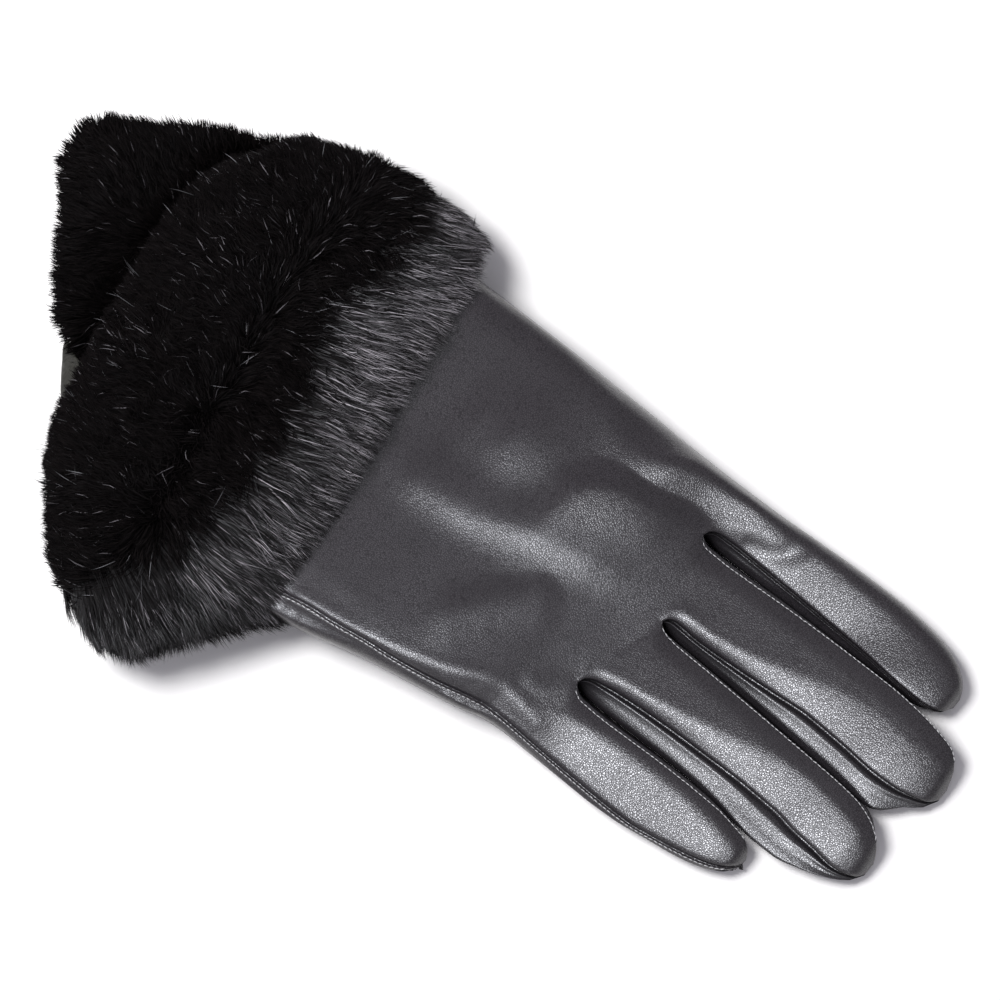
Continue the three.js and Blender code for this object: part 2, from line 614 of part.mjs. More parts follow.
// The origin is below the middle of the glove, on the surface that it lies on
const reach = new THREE.Box3().setFromObject(glove);
const centre = reach.getCenter(new THREE.Vector3());
glove.position.set(-centre.x, -centre.y, -reach.min.z);

export default glove;
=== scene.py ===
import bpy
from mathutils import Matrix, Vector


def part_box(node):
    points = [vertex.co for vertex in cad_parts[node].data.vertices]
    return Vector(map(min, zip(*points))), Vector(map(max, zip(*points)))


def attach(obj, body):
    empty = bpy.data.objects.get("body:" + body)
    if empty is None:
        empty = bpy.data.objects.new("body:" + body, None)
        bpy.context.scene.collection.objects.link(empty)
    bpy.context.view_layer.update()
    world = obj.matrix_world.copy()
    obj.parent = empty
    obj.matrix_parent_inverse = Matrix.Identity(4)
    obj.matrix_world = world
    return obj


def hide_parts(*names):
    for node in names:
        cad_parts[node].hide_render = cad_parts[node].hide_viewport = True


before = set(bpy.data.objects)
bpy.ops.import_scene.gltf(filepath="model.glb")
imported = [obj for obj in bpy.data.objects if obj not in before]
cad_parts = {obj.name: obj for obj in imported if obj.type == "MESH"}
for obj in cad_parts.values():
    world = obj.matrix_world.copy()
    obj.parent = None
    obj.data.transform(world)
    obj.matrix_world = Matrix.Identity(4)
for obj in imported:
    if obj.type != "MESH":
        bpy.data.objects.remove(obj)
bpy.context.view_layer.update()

import math
from functools import partial

import bmesh
import bpy
import numpy as np
from mathutils import Matrix, Vector
from mathutils.kdtree import KDTree

# Sizes are in millimetres on the glove's own axes: +Y to the fingertips, +X to the little finger.
# place() turns them into metres in the model's frame.
leatherEnds = {"left": -45.3731, "tip": 137.5}  # where the CAD hand ends on those axes
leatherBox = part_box("hand_leather")
gloveShift = {
    "x": leatherBox[0].x * 1000 - leatherEnds["left"],
    "y": leatherBox[1].y * 1000 - leatherEnds["tip"],
}


def place(x, y, z):
    x, y, z = np.broadcast_arrays(x, y, z)
    return np.stack([x + gloveShift["x"], y + gloveShift["y"], z], axis=-1) / 1000


def smoothStep(low, high, value):
    share = np.clip((value - low) / (high - low), 0, 1)
    return share * share * (3 - 2 * share)


def mix(a, b, share):
    return a + (b - a) * share


def along(knots, values, at):
    # a smooth curve through the knots that never swings past them
    knots, values = np.asarray(knots, float), np.asarray(values, float)
    step = np.diff(knots)
    slope = np.diff(values) / step
    tangent = np.zeros_like(values)
    tangent[0], tangent[-1] = slope[0], slope[-1]
    before, after = slope[:-1], slope[1:]
    w1, w2 = 2 * step[1:] + step[:-1], step[1:] + 2 * step[:-1]
    same = before * after > 0
    tangent[1:-1][same] = ((w1 + w2)[same]
                           / (w1[same] / before[same] + w2[same] / after[same]))
    at = np.clip(at, knots[0], knots[-1])
    i = np.clip(np.searchsorted(knots, at) - 1, 0, len(knots) - 2)
    t = (at - knots[i]) / step[i]
    a, b = values[i], values[i + 1]
    ta, tb = tangent[i] * step[i], tangent[i + 1] * step[i]
    return (a * (1 + 2 * t) * (1 - t) ** 2 + ta * t * (1 - t) ** 2
            + b * t * t * (3 - 2 * t) + tb * t * t * (t - 1))


def column(table, name, at):
    spot = table["columns"].index(name)
    return along([row[0] for row in table["rows"]], [row[spot] for row in table["rows"]], at)


def signedPower(value, power):
    return np.sign(value) * np.abs(value) ** power


def softBend(value, width, slope):
    # level up to zero and an even slope after it, with a soft turn between them
    return slope * width * np.log1p(np.exp(np.clip(value / width, -30, 30)))


def roundEnd(share, least=0):
    # the size of a round end, from full at share 0 to closed at share 1
    return np.sqrt(np.clip(1 - np.clip(share, 0, 1) ** 2, least, 1))


def newObject(name, data):
    made = bpy.data.objects.new(name, data)
    bpy.context.scene.collection.objects.link(made)
    return made


def newMesh(name, bm, smooth=True):
    mesh = bpy.data.meshes.new(name)
    bm.to_mesh(mesh)
    bm.free()
    if smooth:
        mesh.polygons.foreach_set("use_smooth", [True] * len(mesh.polygons))
    return newObject(name, mesh)


def gridSheet(columns, rows, shape, flip=False):
    # a flat grid whose points are moved to shape(u, v), as a bmesh
    bm = bmesh.new()
    bmesh.ops.create_grid(bm, x_segments=columns, y_segments=rows, size=0.5)
    uv = np.array([v.co[:2] for v in bm.verts]) + 0.5
    for vert, point in zip(bm.verts, shape(uv[:, 0], uv[:, 1])):
        vert.co = point
    if flip:
        bmesh.ops.reverse_faces(bm, faces=bm.faces)
    return bm


def closedTube(columns, rows, shape):
    bm = gridSheet(columns, rows, shape)
    bmesh.ops.remove_doubles(bm, verts=bm.verts, dist=0.00001)
    bmesh.ops.recalc_face_normals(bm, faces=bm.faces)
    return bm


def joined(parts, weld=0.00002):
    # several bmeshes as one, with the points that meet made one
    whole = bmesh.new()
    for part in parts:
        mesh = bpy.data.meshes.new("part")
        part.to_mesh(mesh)
        part.free()
        whole.from_mesh(mesh)
        bpy.data.meshes.remove(mesh)
    bmesh.ops.remove_doubles(whole, verts=whole.verts, dist=weld)
    return whole


def dress(piece, material, slot, *nodes):
    piece.data.materials.append(material)
    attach(piece, "root")
    if nodes:
        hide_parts(*nodes)


def newMaterial(name):
    material = bpy.data.materials.new(name)
    material.use_nodes = True
    return material, material.node_tree, material.node_tree.nodes["Principled BSDF"]


def setSurface(surface, look):
    if "colour" in look:
        surface.inputs["Base Color"].default_value = (*look["colour"], 1)
    surface.inputs["Roughness"].default_value = look["rough"]
    surface.inputs["Specular IOR Level"].default_value = look["specular"]


# The camera looks straight down. The right side of its picture is (rightX, rightY) on the glove.
cameraSet = {
    "height": 2.2, "frameWidth": 0.26, "rightX": -0.634, "rightY": 0.773,
    "sensor": 36, "clip": (0.05, 20),
}


def makeCamera():
    data = bpy.data.cameras.new("photoCamera")
    data.sensor_width = cameraSet["sensor"]
    data.lens = cameraSet["sensor"] * cameraSet["height"] / cameraSet["frameWidth"]
    data.clip_start, data.clip_end = cameraSet["clip"]
    camera = newObject("photoCamera", data)
    turn = math.hypot(cameraSet["rightX"], cameraSet["rightY"])
    rightX, rightY = cameraSet["rightX"] / turn, cameraSet["rightY"] / turn
    seat = place(0, 0, 0)
    camera.matrix_world = Matrix((
        (rightX, -rightY, 0, seat[0]),
        (rightY, rightX, 0, seat[1]),
        (0, 0, 1, cameraSet["height"]),
        (0, 0, 0, 1),
    ))
    bpy.context.scene.camera = camera


# One lamp gives the leather its sheen, the other the soft shadows
lampSet = {
    "gloss": {"watts": 60.0, "size": 0.70, "away": (1.30, 0.62, 2.0),
              "colour": (0.93, 0.945, 1.0)},
    "back": {"watts": 12.0, "size": 0.42, "away": (0.04, -0.50, 0.86),
             "colour": (1.0, 0.99, 0.98)},
}
worldSet = {"strength": 0.415, "colour": (0.95, 0.925, 1.0)}


def makeLights():
    for name, form in lampSet.items():
        data = bpy.data.lights.new(name + "Light", "AREA")
        data.shape = "DISK"
        data.energy, data.size, data.color = form["watts"], form["size"], form["colour"]
        lamp = newObject(name + "Light", data)
        lamp.visible_diffuse = name != "gloss"
        lamp.visible_glossy = name == "gloss"
        lamp.location = place(0, 0, 0) + np.array(form["away"])
        lamp.rotation_mode = "QUATERNION"
        lamp.rotation_quaternion = Vector(form["away"]).to_track_quat("Z", "Y")
    world = bpy.data.worlds.new("studio")
    bpy.context.scene.world = world
    world.use_nodes = True
    back = world.node_tree.nodes["Background"]
    back.inputs["Color"].default_value = (*worldSet["colour"], 1)
    back.inputs["Strength"].default_value = worldSet["strength"]
    bpy.context.scene.view_settings.view_transform = "Standard"


floorSet = {"size": 4, "z": -0.0004, "colour": (0.93, 0.93, 0.935), "rough": 0.9, "specular": 0.1}


def makeFloor():
    bm = bmesh.new()
    bmesh.ops.create_grid(bm, x_segments=4, y_segments=4, size=floorSet["size"])
    floor = newMesh("floor", bm, smooth=False)
    floor.location.z = floorSet["z"]
    material, tree, surface = newMaterial("paleFloor")
    setSurface(surface, floorSet)
    floor.data.materials.append(material)


makeCamera()
makeLights()
makeFloor()
print("stage: camera, lights and floor are in place")


def groupOf(name, inputs, outputs):
    tree = bpy.data.node_groups.new(name, "ShaderNodeTree")
    for label, value in inputs.items():
        kind = "NodeSocketFloat" if isinstance(value, float) else "NodeSocketVector"
        made = tree.interface.new_socket(name=label, in_out="INPUT", socket_type=kind)
        made.default_value = value
    for label in outputs:
        tree.interface.new_socket(name=label, in_out="OUTPUT", socket_type="NodeSocketFloat")
    return tree, tree.nodes.new("NodeGroupInput"), tree.nodes.new("NodeGroupOutput")


def addNode(tree, kind, values=None, **settings):
    node = tree.nodes.new(kind)
    for key, value in settings.items():
        setattr(node, key, value)
    for key, value in (values or {}).items():
        node.inputs[key].default_value = value
    return node


def wire(tree, links):
    # each link: a node and its output, the next node and its input
    for node, output, further, into in links:
        tree.links.new(node.outputs[output], further.inputs[into])


grainSet = {
    "scale": 1500.0, "creases": 0.35, "pores": 0.6, "creaseScale": 170.0, "warpScale": 420.0,
    "warp": 0.0009, "softness": 0.35, "rim": 0.22, "cell": 0.8, "fineScale": 5200.0, "fine": 0.15,
}


def grainGroup():
    # pebbled nappa: rounded cells, pores between them and soft long creases
    form = grainSet
    tree, into, out = groupOf("nappaGrain", {
        "Scale": form["scale"], "Creases": form["creases"], "Pores": form["pores"],
    }, ["Height", "Shade"])
    where = addNode(tree, "ShaderNodeTexCoord")
    warp = addNode(tree, "ShaderNodeTexNoise", {"Scale": form["warpScale"], "Detail": 2.0})
    shift = addNode(tree, "ShaderNodeVectorMath", {1: [form["warp"]] * 3},
                    operation="MULTIPLY_ADD")
    cells = addNode(tree, "ShaderNodeTexVoronoi", {"Smoothness": form["softness"]},
                    feature="SMOOTH_F1")
    rims = addNode(tree, "ShaderNodeTexVoronoi", feature="DISTANCE_TO_EDGE")
    edge = addNode(tree, "ShaderNodeMapRange", {"From Max": form["rim"]},
                   interpolation_type="SMOOTHSTEP")
    fine = addNode(tree, "ShaderNodeTexNoise", {"Scale": form["fineScale"], "Detail": 2.0})
    creases = addNode(tree, "ShaderNodeTexNoise", {
        "Scale": form["creaseScale"], "Detail": 3.0, "Roughness": 0.6})
    cellTop = addNode(tree, "ShaderNodeMath", {1: -form["cell"], 2: form["cell"]},
                      operation="MULTIPLY_ADD")
    pore = addNode(tree, "ShaderNodeMath", operation="MULTIPLY")
    withPores = addNode(tree, "ShaderNodeMath", operation="ADD")
    withFine = addNode(tree, "ShaderNodeMath", {1: form["fine"]}, operation="MULTIPLY_ADD")
    withCreases = addNode(tree, "ShaderNodeMath", operation="MULTIPLY_ADD")
    for cell in (cells, rims):
        wire(tree, [(shift, 0, cell, "Vector"), (into, "Scale", cell, "Scale")])
    wire(tree, [
        (where, "Object", warp, "Vector"), (where, "Object", fine, "Vector"),
        (where, "Object", creases, "Vector"), (warp, "Color", shift, 0),
        (where, "Object", shift, 2), (rims, "Distance", edge, "Value"),
        (cells, "Distance", cellTop, 0), (edge, "Result", pore, 0), (into, "Pores", pore, 1),
        (cellTop, 0, withPores, 0), (pore, 0, withPores, 1), (fine, "Fac", withFine, 0),
        (withPores, 0, withFine, 2), (creases, "Fac", withCreases, 0),
        (into, "Creases", withCreases, 1), (withFine, 0, withCreases, 2),
        (withCreases, 0, out, "Height"), (edge, "Result", out, "Shade"),
    ])
    return tree


def fibreGroup():
    # fine fibres or threads: how far each stands up, and its tone from dark (0) to light (1)
    tree, into, out = groupOf("fineFibre", {
        "Scale": 2600.0, "Detail": 2.0, "Stretch": (1, 1, 1),
    }, ["Height", "Tone"])
    where = addNode(tree, "ShaderNodeTexCoord")
    stretch = addNode(tree, "ShaderNodeMapping")
    fibre = addNode(tree, "ShaderNodeTexNoise")
    tone = addNode(tree, "ShaderNodeMapRange", {"From Min": 0.3, "From Max": 0.7})
    wire(tree, [
        (where, "Object", stretch, "Vector"), (into, "Stretch", stretch, "Scale"),
        (stretch, "Vector", fibre, "Vector"), (into, "Scale", fibre, "Scale"),
        (into, "Detail", fibre, "Detail"), (fibre, "Fac", tone, "Value"),
        (fibre, "Fac", out, "Height"), (tone, "Result", out, "Tone"),
    ])
    return tree


nappaGrain = grainGroup()
fineFibre = fibreGroup()

backLook = {
    "dark": (0.0130, 0.0112, 0.0136), "light": (0.0275, 0.0240, 0.0288), "clouds": 55.0,
    "rough": (0.38, 0.29), "sheen": (0.45, 0.90), "grain": 1900.0, "bump": 0.20, "depth": 0.00018,
}
sideLook = {
    **backLook, "dark": (0.012, 0.0110, 0.0128), "light": (0.030, 0.027, 0.032),
    "rough": (0.40, 0.30), "grain": 2000.0, "bump": 0.16,
}
fibreLook = {"fibres": 2600.0, "detail": 2.0, "stretch": (1, 1, 1)}
cutEdgeLook = {
    **fibreLook, "dark": (0.006, 0.0057, 0.0063), "light": (0.0125, 0.011875, 0.013125),
    "rough": 0.75, "specular": 0.15, "bump": 0.5, "depth": 0.00006,
}


def darkToLight(tree, look):
    return addNode(tree, "ShaderNodeMix", {6: (*look["dark"], 1), 7: (*look["light"], 1)},
                   data_type="RGBA")


def leatherMaterial(name, look):
    material, tree, surface = newMaterial(name)
    where = addNode(tree, "ShaderNodeTexCoord")
    grain = addNode(tree, "ShaderNodeGroup", {"Scale": look["grain"]}, node_tree=nappaGrain)
    cloud = addNode(tree, "ShaderNodeTexNoise", {
        "Scale": look["clouds"], "Detail": 3.0, "Roughness": 0.6})
    shade = addNode(tree, "ShaderNodeMath", operation="MULTIPLY")
    tone = addNode(tree, "ShaderNodeMapRange", {"From Min": 0.1, "From Max": 0.75})
    colour = darkToLight(tree, look)
    bump = addNode(tree, "ShaderNodeBump", {"Strength": look["bump"], "Distance": look["depth"]})
    wire(tree, [
        (where, "Object", cloud, "Vector"), (cloud, "Fac", shade, 0), (grain, "Shade", shade, 1),
        (shade, 0, tone, "Value"), (tone, "Result", colour, 0), (colour, 2, surface, "Base Color"),
        (grain, "Height", bump, "Height"), (bump, "Normal", surface, "Normal"),
    ])
    # pores are rougher and shine less than the cells round them
    for label, ends in (("Roughness", look["rough"]), ("Specular IOR Level", look["sheen"])):
        share = addNode(tree, "ShaderNodeMapRange", {"To Min": ends[0], "To Max": ends[1]})
        wire(tree, [(grain, "Shade", share, "Value"), (share, "Result", surface, label)])
    return material


def fibreMaterial(name, look):
    # one colour, or tones from dark to light where the look gives both
    material, tree, surface = newMaterial(name)
    setSurface(surface, look)
    fibre = addNode(tree, "ShaderNodeGroup", {
        "Scale": look["fibres"], "Detail": look["detail"], "Stretch": look["stretch"],
    }, node_tree=fineFibre)
    bump = addNode(tree, "ShaderNodeBump", {"Strength": look["bump"], "Distance": look["depth"]})
    wire(tree, [(fibre, "Height", bump, "Height"), (bump, "Normal", surface, "Normal")])
    if "light" in look:
        colour = darkToLight(tree, look)
        wire(tree, [(fibre, "Tone", colour, 0), (colour, 2, surface, "Base Color")])
    return material


cutEdge = fibreMaterial("cutEdge", cutEdgeLook)
backLeather = leatherMaterial("backLeather", backLook)
sideLeather = leatherMaterial("sideLeather", sideLook)
print("stage: leather is mixed")

# The outlines of the hand, as measured on the glove
palmTable = {
    "columns": ("y", "left", "right", "crown"),
    "rows": [
        (-52, -40.6, 62.6, 20.2), (-42, -40.6, 62.0, 20.4), (-34, -40.9, 61.2, 20.5),
        (-27, -41.1, 60.4, 20.5), (-21, -41.3, 59.4, 20.5), (-15, -41.5, 58.0, 20.4),
        (-8, -41.7, 56.0, 20.3), (-1, -41.8, 54.2, 20.0), (6, -41.9, 52.7, 19.5),
        (13, -42.0, 51.3, 18.8), (20, -42.0, 49.9, 17.8), (27, -42.0, 48.3, 16.6),
        (33, -42.1, 46.6, 15.5), (39, -42.2, 46.0, 14.5), (44, -42.4, 46.0, 13.7),
        (50, -42.7, 46.0, 12.9), (60, -43.2, 46.0, 12.0),
    ],
}
fingerColumns = ("y", "leftWall", "left", "right", "rightWall", "height")
fingerTables = [
    {"columns": fingerColumns, "rows": [
        (36, -42.1, -42.1, -28.4, -26.8, 13.2), (47, -42.5, -42.5, -29.0, -27.3, 12.0),
        (57, -43.0, -43.0, -29.5, -27.6, 11.4), (70, -44.0, -44.0, -29.5, -27.7, 11.0),
        (84, -45.0, -45.0, -29.4, -27.8, 10.7), (98, -45.5, -45.5, -29.2, -27.8, 10.4),
        (109, -44.9, -44.9, -28.7, -27.6, 9.8), (116, -43.6, -43.6, -28.6, -27.7, 8.9),
        (121, -41.2, -41.2, -29.2, -28.5, 7.8), (124, -38.2, -38.2, -31.0, -30.4, 6.4),
        (125.3, -35.6, -35.6, -33.2, -33.0, 4.8)]},
    {"columns": fingerColumns, "rows": [
        (36, -25.0, -25.8, -3.0, -1.2, 14.0), (47, -23.2, -24.0, -3.4, -1.2, 12.6),
        (55, -23.2, -24.0, -4.4, -1.6, 12.0), (62, -23.6, -24.4, -4.2, -1.8, 11.6),
        (74, -24.5, -25.3, -5.0, -1.6, 11.3), (86, -25.2, -26.0, -6.2, -1.2, 11.0),
        (98, -25.7, -26.5, -7.4, -0.7, 10.7), (110, -26.0, -26.8, -7.2, -0.2, 10.4),
        (119, -25.7, -26.4, -6.8, 0.6, 9.9), (126, -24.8, -25.5, -7.2, -1.2, 9.0),
        (131.5, -23.6, -24.2, -8.4, -4.8, 7.9), (135.5, -19.9, -20.4, -9.8, -7.9, 6.4),
        (137.6, -14.9, -15.2, -12.0, -11.6, 4.6)]},
    {"columns": fingerColumns, "rows": [
        (36, -1.6, -2.4, 20.0, 22.4, 13.6), (47, -0.8, -1.6, 20.6, 23.2, 12.4),
        (55, 0.5, -0.3, 19.5, 23.2, 12.0), (60, 1.1, 0.3, 18.9, 23.1, 11.6),
        (72, 1.1, 0.3, 17.9, 23.0, 11.2), (84, 1.2, 0.4, 17.3, 23.2, 10.9),
        (95, 1.4, 0.6, 16.9, 24.4, 10.6), (106, 1.6, 0.8, 17.0, 26.7, 10.3),
        (113, 1.8, 1.0, 17.9, 26.6, 10.0), (120, 2.2, 1.5, 18.3, 24.9, 9.6),
        (126, 3.7, 3.1, 18.9, 22.8, 8.9), (130.6, 6.3, 5.8, 18.3, 20.4, 7.7),
        (133.6, 9.5, 9.1, 16.8, 17.9, 6.2), (135, 12.0, 11.7, 15.0, 15.4, 4.6)]},
    {"columns": fingerColumns, "rows": [
        (36, 24.6, 23.8, 46.0, 46.0, 13.0), (47, 27.8, 26.9, 46.0, 46.0, 11.8),
        (55, 28.0, 27.2, 46.0, 46.0, 11.2), (65, 27.6, 26.8, 46.0, 46.0, 10.8),
        (75, 27.0, 26.3, 45.5, 45.5, 10.5), (85, 26.8, 26.1, 44.0, 44.0, 10.1),
        (94, 26.9, 26.2, 42.5, 42.5, 9.6), (100, 27.5, 26.9, 40.9, 40.9, 8.9),
        (104.5, 28.3, 27.8, 38.8, 38.8, 7.8), (107.4, 30.0, 29.7, 36.1, 36.1, 6.4),
        (108.7, 32.0, 31.9, 34.2, 34.2, 4.8)]},
]
fingerTips = [table["rows"][-1][0] for table in fingerTables]
seamTable = {
    "columns": ("y", "x"),
    "rows": [
        (-52, 57.6), (-36, 56.2), (-29, 55.0), (-25, 54.0), (-20, 53.0), (-14, 52.3), (-8, 51.3),
        (-3, 50.5), (3, 49.8), (10, 48.7), (17, 47.3), (22, 46.0), (27, 44.8), (31, 44.1),
        (36, 43.9), (50, 44.3), (60, 44.5), (70, 44.6), (78, 44.4), (86, 43.2), (94, 41.6),
        (100, 40.0), (104.5, 38.0), (107.4, 35.6), (108.7, 34.1),
    ],
}
slots = [
    {"y": 46.6, "hemX": -17.0, "round": 3.4},
    {"y": 52.6, "hemX": 9.5, "round": 3.0},
    {"y": 45.6, "hemX": 35.0, "round": 4.0},
]
# Where the rows of points lie, how the palm blends into the fingers, and how the tips close
handForm = {
    "hem": -50.0, "webStart": 41, "common": 58.0, "palmRows": 92, "webRows": 34, "fingerRows": 84,
    "blend": (26, 56), "sideBlend": (36, 58), "join": 5.0, "joinEnd": 14, "gather": 0.55,
    "tipRound": 3.8, "tipHeight": 8.0, "tipMiddle": 0.42, "edge": 0.45, "thickness": 0.0011,
}
# How the palm's top falls, tilts and bevels, and how its underside clears the floor and the thumb
palmForm = {
    "fall": 0.03, "roll": 20, "tilt": 0.035, "tiltFrom": 13, "tiltReach": 30, "tiltEnd": (20, 44),
    "bevel": 0.35, "bevelTurn": 1.0, "bevelFade": 5, "least": 1.0, "seamTurn": 0.6,
    "belly": 2.5, "bellyRound": 0.36, "clear": 0.6, "wristFloor": 6.4, "wristEnd": (-30, 4),
    "overThumb": 0.3, "thumbFade": (3, 12),
}
thumbTable = {
    "columns": ("y", "x", "half", "height"),
    "rows": [
        (-30, -30.0, 7.0, 6.0), (-23, -28.2, 11.5, 8.2), (-13, -25.4, 13.2, 8.6),
        (-3, -22.6, 13.0, 8.6), (8, -18.4, 12.0, 8.6), (18, -14.2, 11.0, 8.2),
        (25.5, -10.6, 9.6, 7.2), (30, -8.4, 7.4, 6.0), (32.8, -7.2, 4.2, 4.6),
    ],
}

foldColumns = ("y", "x", "rise")
# Long folds of the back: where each one's crest runs and how high it stands. It reaches to the
# index side, to the seam side and beyond its ends. Folds that join run softly into each other.
longFolds = [
    {"columns": foldColumns, "reach": (11.0, 6.5, 6.0), "joins": True, "rows": [
        (-26, 9.8, 0.35), (-17, 8.3, 1.0), (-8, 6.8, 1.15), (0, 4.6, 1.1), (8, 1.4, 1.25),
        (17, -1.6, 1.4), (28, -4.2, 1.35), (40, -6.5, 0.5)]},
    {"columns": foldColumns, "reach": (6.5, 16.5, 4.0), "joins": True, "rows": [
        (9, -12.0, 1.2), (13, -15.0, 2.4), (17, -18.0, 3.0), (22, -20.5, 3.1), (32, -22.5, 2.9),
        (42, -24.5, 1.6), (50, -25.0, 0.2)]},
    {"columns": foldColumns, "reach": (13.0, 14.0, 6.0), "joins": True, "rows": [
        (-15, -13.5, 0.9), (-6, -15.5, 1.55), (3, -16.5, 1.0)]},
    {"columns": foldColumns, "reach": (4.0, 9.5, 5.0), "joins": False, "rows": [
        (15, -31.0, 0.4), (20, -32.4, 1.2), (26, -34.8, 2.2), (32, -38.2, 2.9), (40, -42.3, 3.0),
        (50, -43.5, 2.7), (60, -44.0, 1.5), (66, -43.5, 0.1)]},
]
# Short ridges and hollows: points (x, y), the rise and how far the form reaches, as above
shortFolds = [
    {"path": [(13, 23), (22, 15), (30, 9)], "rise": 0.7, "reach": (6.0, 8.0, 5.0)},
    {"path": [(38.5, 44), (36.6, 32), (38.4, 25), (42.5, 17), (46.5, 5), (49.2, -5), (50.8, -15),
              (52.2, -24)], "rise": 0.36, "reach": (2.3, 2.3, 2.3)},
    {"path": [(26, 46), (30, 41), (31, 36)], "rise": 0.25, "reach": (3.5, 2.2, 2.2)},
    {"path": [(-29, -6), (-22, 2)], "rise": 0.3, "reach": (8.0, 5.0, 5.0)},
    {"path": [(-26, 47), (-20, 42), (-12, 40)], "rise": 0.2, "reach": (4.0, 3.0, 3.0)},
    {"path": [(-41, 69), (-36.5, 67), (-33.5, 63), (-32, 57.5)], "rise": -0.5,
     "reach": (2.3, 2.3, 2.3)},
    {"path": [(-1, 52.5), (6, 50), (10, 49)], "rise": -0.12, "reach": (1.2, 1.0, 1.0)},
]


def pathDistance(points, x, y, reach=(1.0, 1.0, 1.0)):
    best = np.full(np.shape(x), 1e9)
    for (x0, y0), (x1, y1) in zip(points[:-1], points[1:]):
        share = ((x - x0) * (x1 - x0) + (y - y0) * (y1 - y0)) / ((x1 - x0) ** 2 + (y1 - y0) ** 2)
        share = np.clip(share, 0, 1)
        offX, offY = x - mix(x0, x1, share), y - mix(y0, y1, share)
        offX = offX / np.where(offX < 0, reach[0], reach[1])
        best = np.minimum(best, np.hypot(offX, offY / reach[2]))
    return best


def foldRise(x, y):
    ridge, hollow = np.zeros(np.shape(x)), np.zeros(np.shape(x))
    for fold in longFolds:
        aside = x - column(fold, "x", y)
        aside = aside / np.where(aside < 0, fold["reach"][0], fold["reach"][1])
        beyond = np.maximum(fold["rows"][0][0] - y, 0) + np.maximum(y - fold["rows"][-1][0], 0)
        rise = column(fold, "rise", y) * np.exp(-aside ** 2 - (beyond / fold["reach"][2]) ** 2)
        ridge = np.hypot(ridge, rise) if fold["joins"] else np.maximum(ridge, rise)
    for fold in shortFolds:
        rise = fold["rise"] * np.exp(-pathDistance(fold["path"], x, y, fold["reach"]) ** 2)
        ridge, hollow = np.maximum(ridge, rise), np.minimum(hollow, rise)
    return ridge + hollow


bevelLine = {
    "columns": ("y", "x"),
    "rows": [
        (-52, 55.6), (-24, 51.6), (-15, 50.4), (-8, 49.0), (0, 47.0), (8, 44.9), (14, 42.6),
        (20, 40.2), (26, 37.2), (32, 35.4), (40, 36.2), (60, 40.0),
    ],
}


def palmFloor(x, y):
    form = palmForm
    first, last = thumbTable["rows"][0], thumbTable["rows"][-1]
    reach = pathDistance([(first[1], first[0]), (last[1], last[0])], x, y)
    half, height = column(thumbTable, "half", y), column(thumbTable, "height", y)
    cover = 1 - smoothStep(half + form["thumbFade"][0], half + form["thumbFade"][1], reach)
    atWrist = form["wristFloor"] * (1 - smoothStep(*form["wristEnd"], y))
    return np.maximum(form["clear"], np.maximum((height + form["overThumb"]) * cover, atWrist))


def palmSide(x, y, top):
    form = palmForm
    left, right = column(palmTable, "left", y), column(palmTable, "right", y)
    crown = column(palmTable, "crown", y)
    across = np.clip(np.abs(x - (left + right) / 2) / ((right - left) / 2), 0, 1)
    floor = palmFloor(x, y)
    edge = floor + (crown - floor) * handForm["edge"]
    if not top:
        return edge - (edge - floor) * (1 - across ** form["belly"]) ** form["bellyRound"]
    # nearly level, then rolled down over the last stretch
    flat = (1 - form["fall"] * across ** 3) * (1 - across ** form["roll"]) ** 0.5
    level = edge + (crown - edge) * flat
    beyond = np.clip(x - form["tiltFrom"], 0, form["tiltReach"])
    level = level + form["tilt"] * beyond * (1 - smoothStep(*form["tiltEnd"], y))
    # a bevel runs down to the side seam
    bevel = softBend(x - column(bevelLine, "x", y), form["bevelTurn"], form["bevel"])
    lowered = level - bevel * smoothStep(0, form["bevelFade"], right - x)
    lowered = np.maximum(lowered, floor + form["least"])
    return mix(edge, lowered, smoothStep(0, form["seamTurn"], right - x))


def slotCentre(k, y):
    # the middle of a slot, and under its end the line that runs on to the hem
    slot = slots[k]
    left, right = fingerTables[k], fingerTables[k + 1]
    opened = (column(left, "right", y) + column(right, "left", y)) / 2
    atEnd = (column(left, "right", slot["y"]) + column(right, "left", slot["y"])) / 2
    run = (slot["y"] - y) / (slot["y"] - handForm["hem"])
    closed = atEnd + (slot["hemX"] - atEnd) * np.clip(run, 0, 1) ** 1.3
    return np.where(y > slot["y"], opened, closed)


def slotOpen(k, y):
    return roundEnd(1 - (y - slots[k]["y"]) / slots[k]["round"])


def fingerEdge(finger, name, y):
    # a finger's own edge, drawn in to the middle of the slot where the slot ends
    value = column(fingerTables[finger], name, y)
    isLeft = name.startswith("left")
    if (isLeft and finger == 0) or (not isLeft and finger == 3):
        palm = column(palmTable, "left" if isLeft else "right", y)
        return mix(palm, value, smoothStep(*handForm["sideBlend"], y))
    k = finger - 1 if isLeft else finger
    centre = slotCentre(k, y)
    return centre + (value - centre) * slotOpen(k, y)


def roundedTip(finger, y, value):
    # a fingertip closes like a dome round its middle
    middle = column(fingerTables[finger], "height", y)
    middle = np.minimum(middle, handForm["tipHeight"]) * handForm["tipMiddle"]
    return middle + (value - middle) * roundEnd((y - fingerTips[finger]) / handForm["tipRound"] + 1)


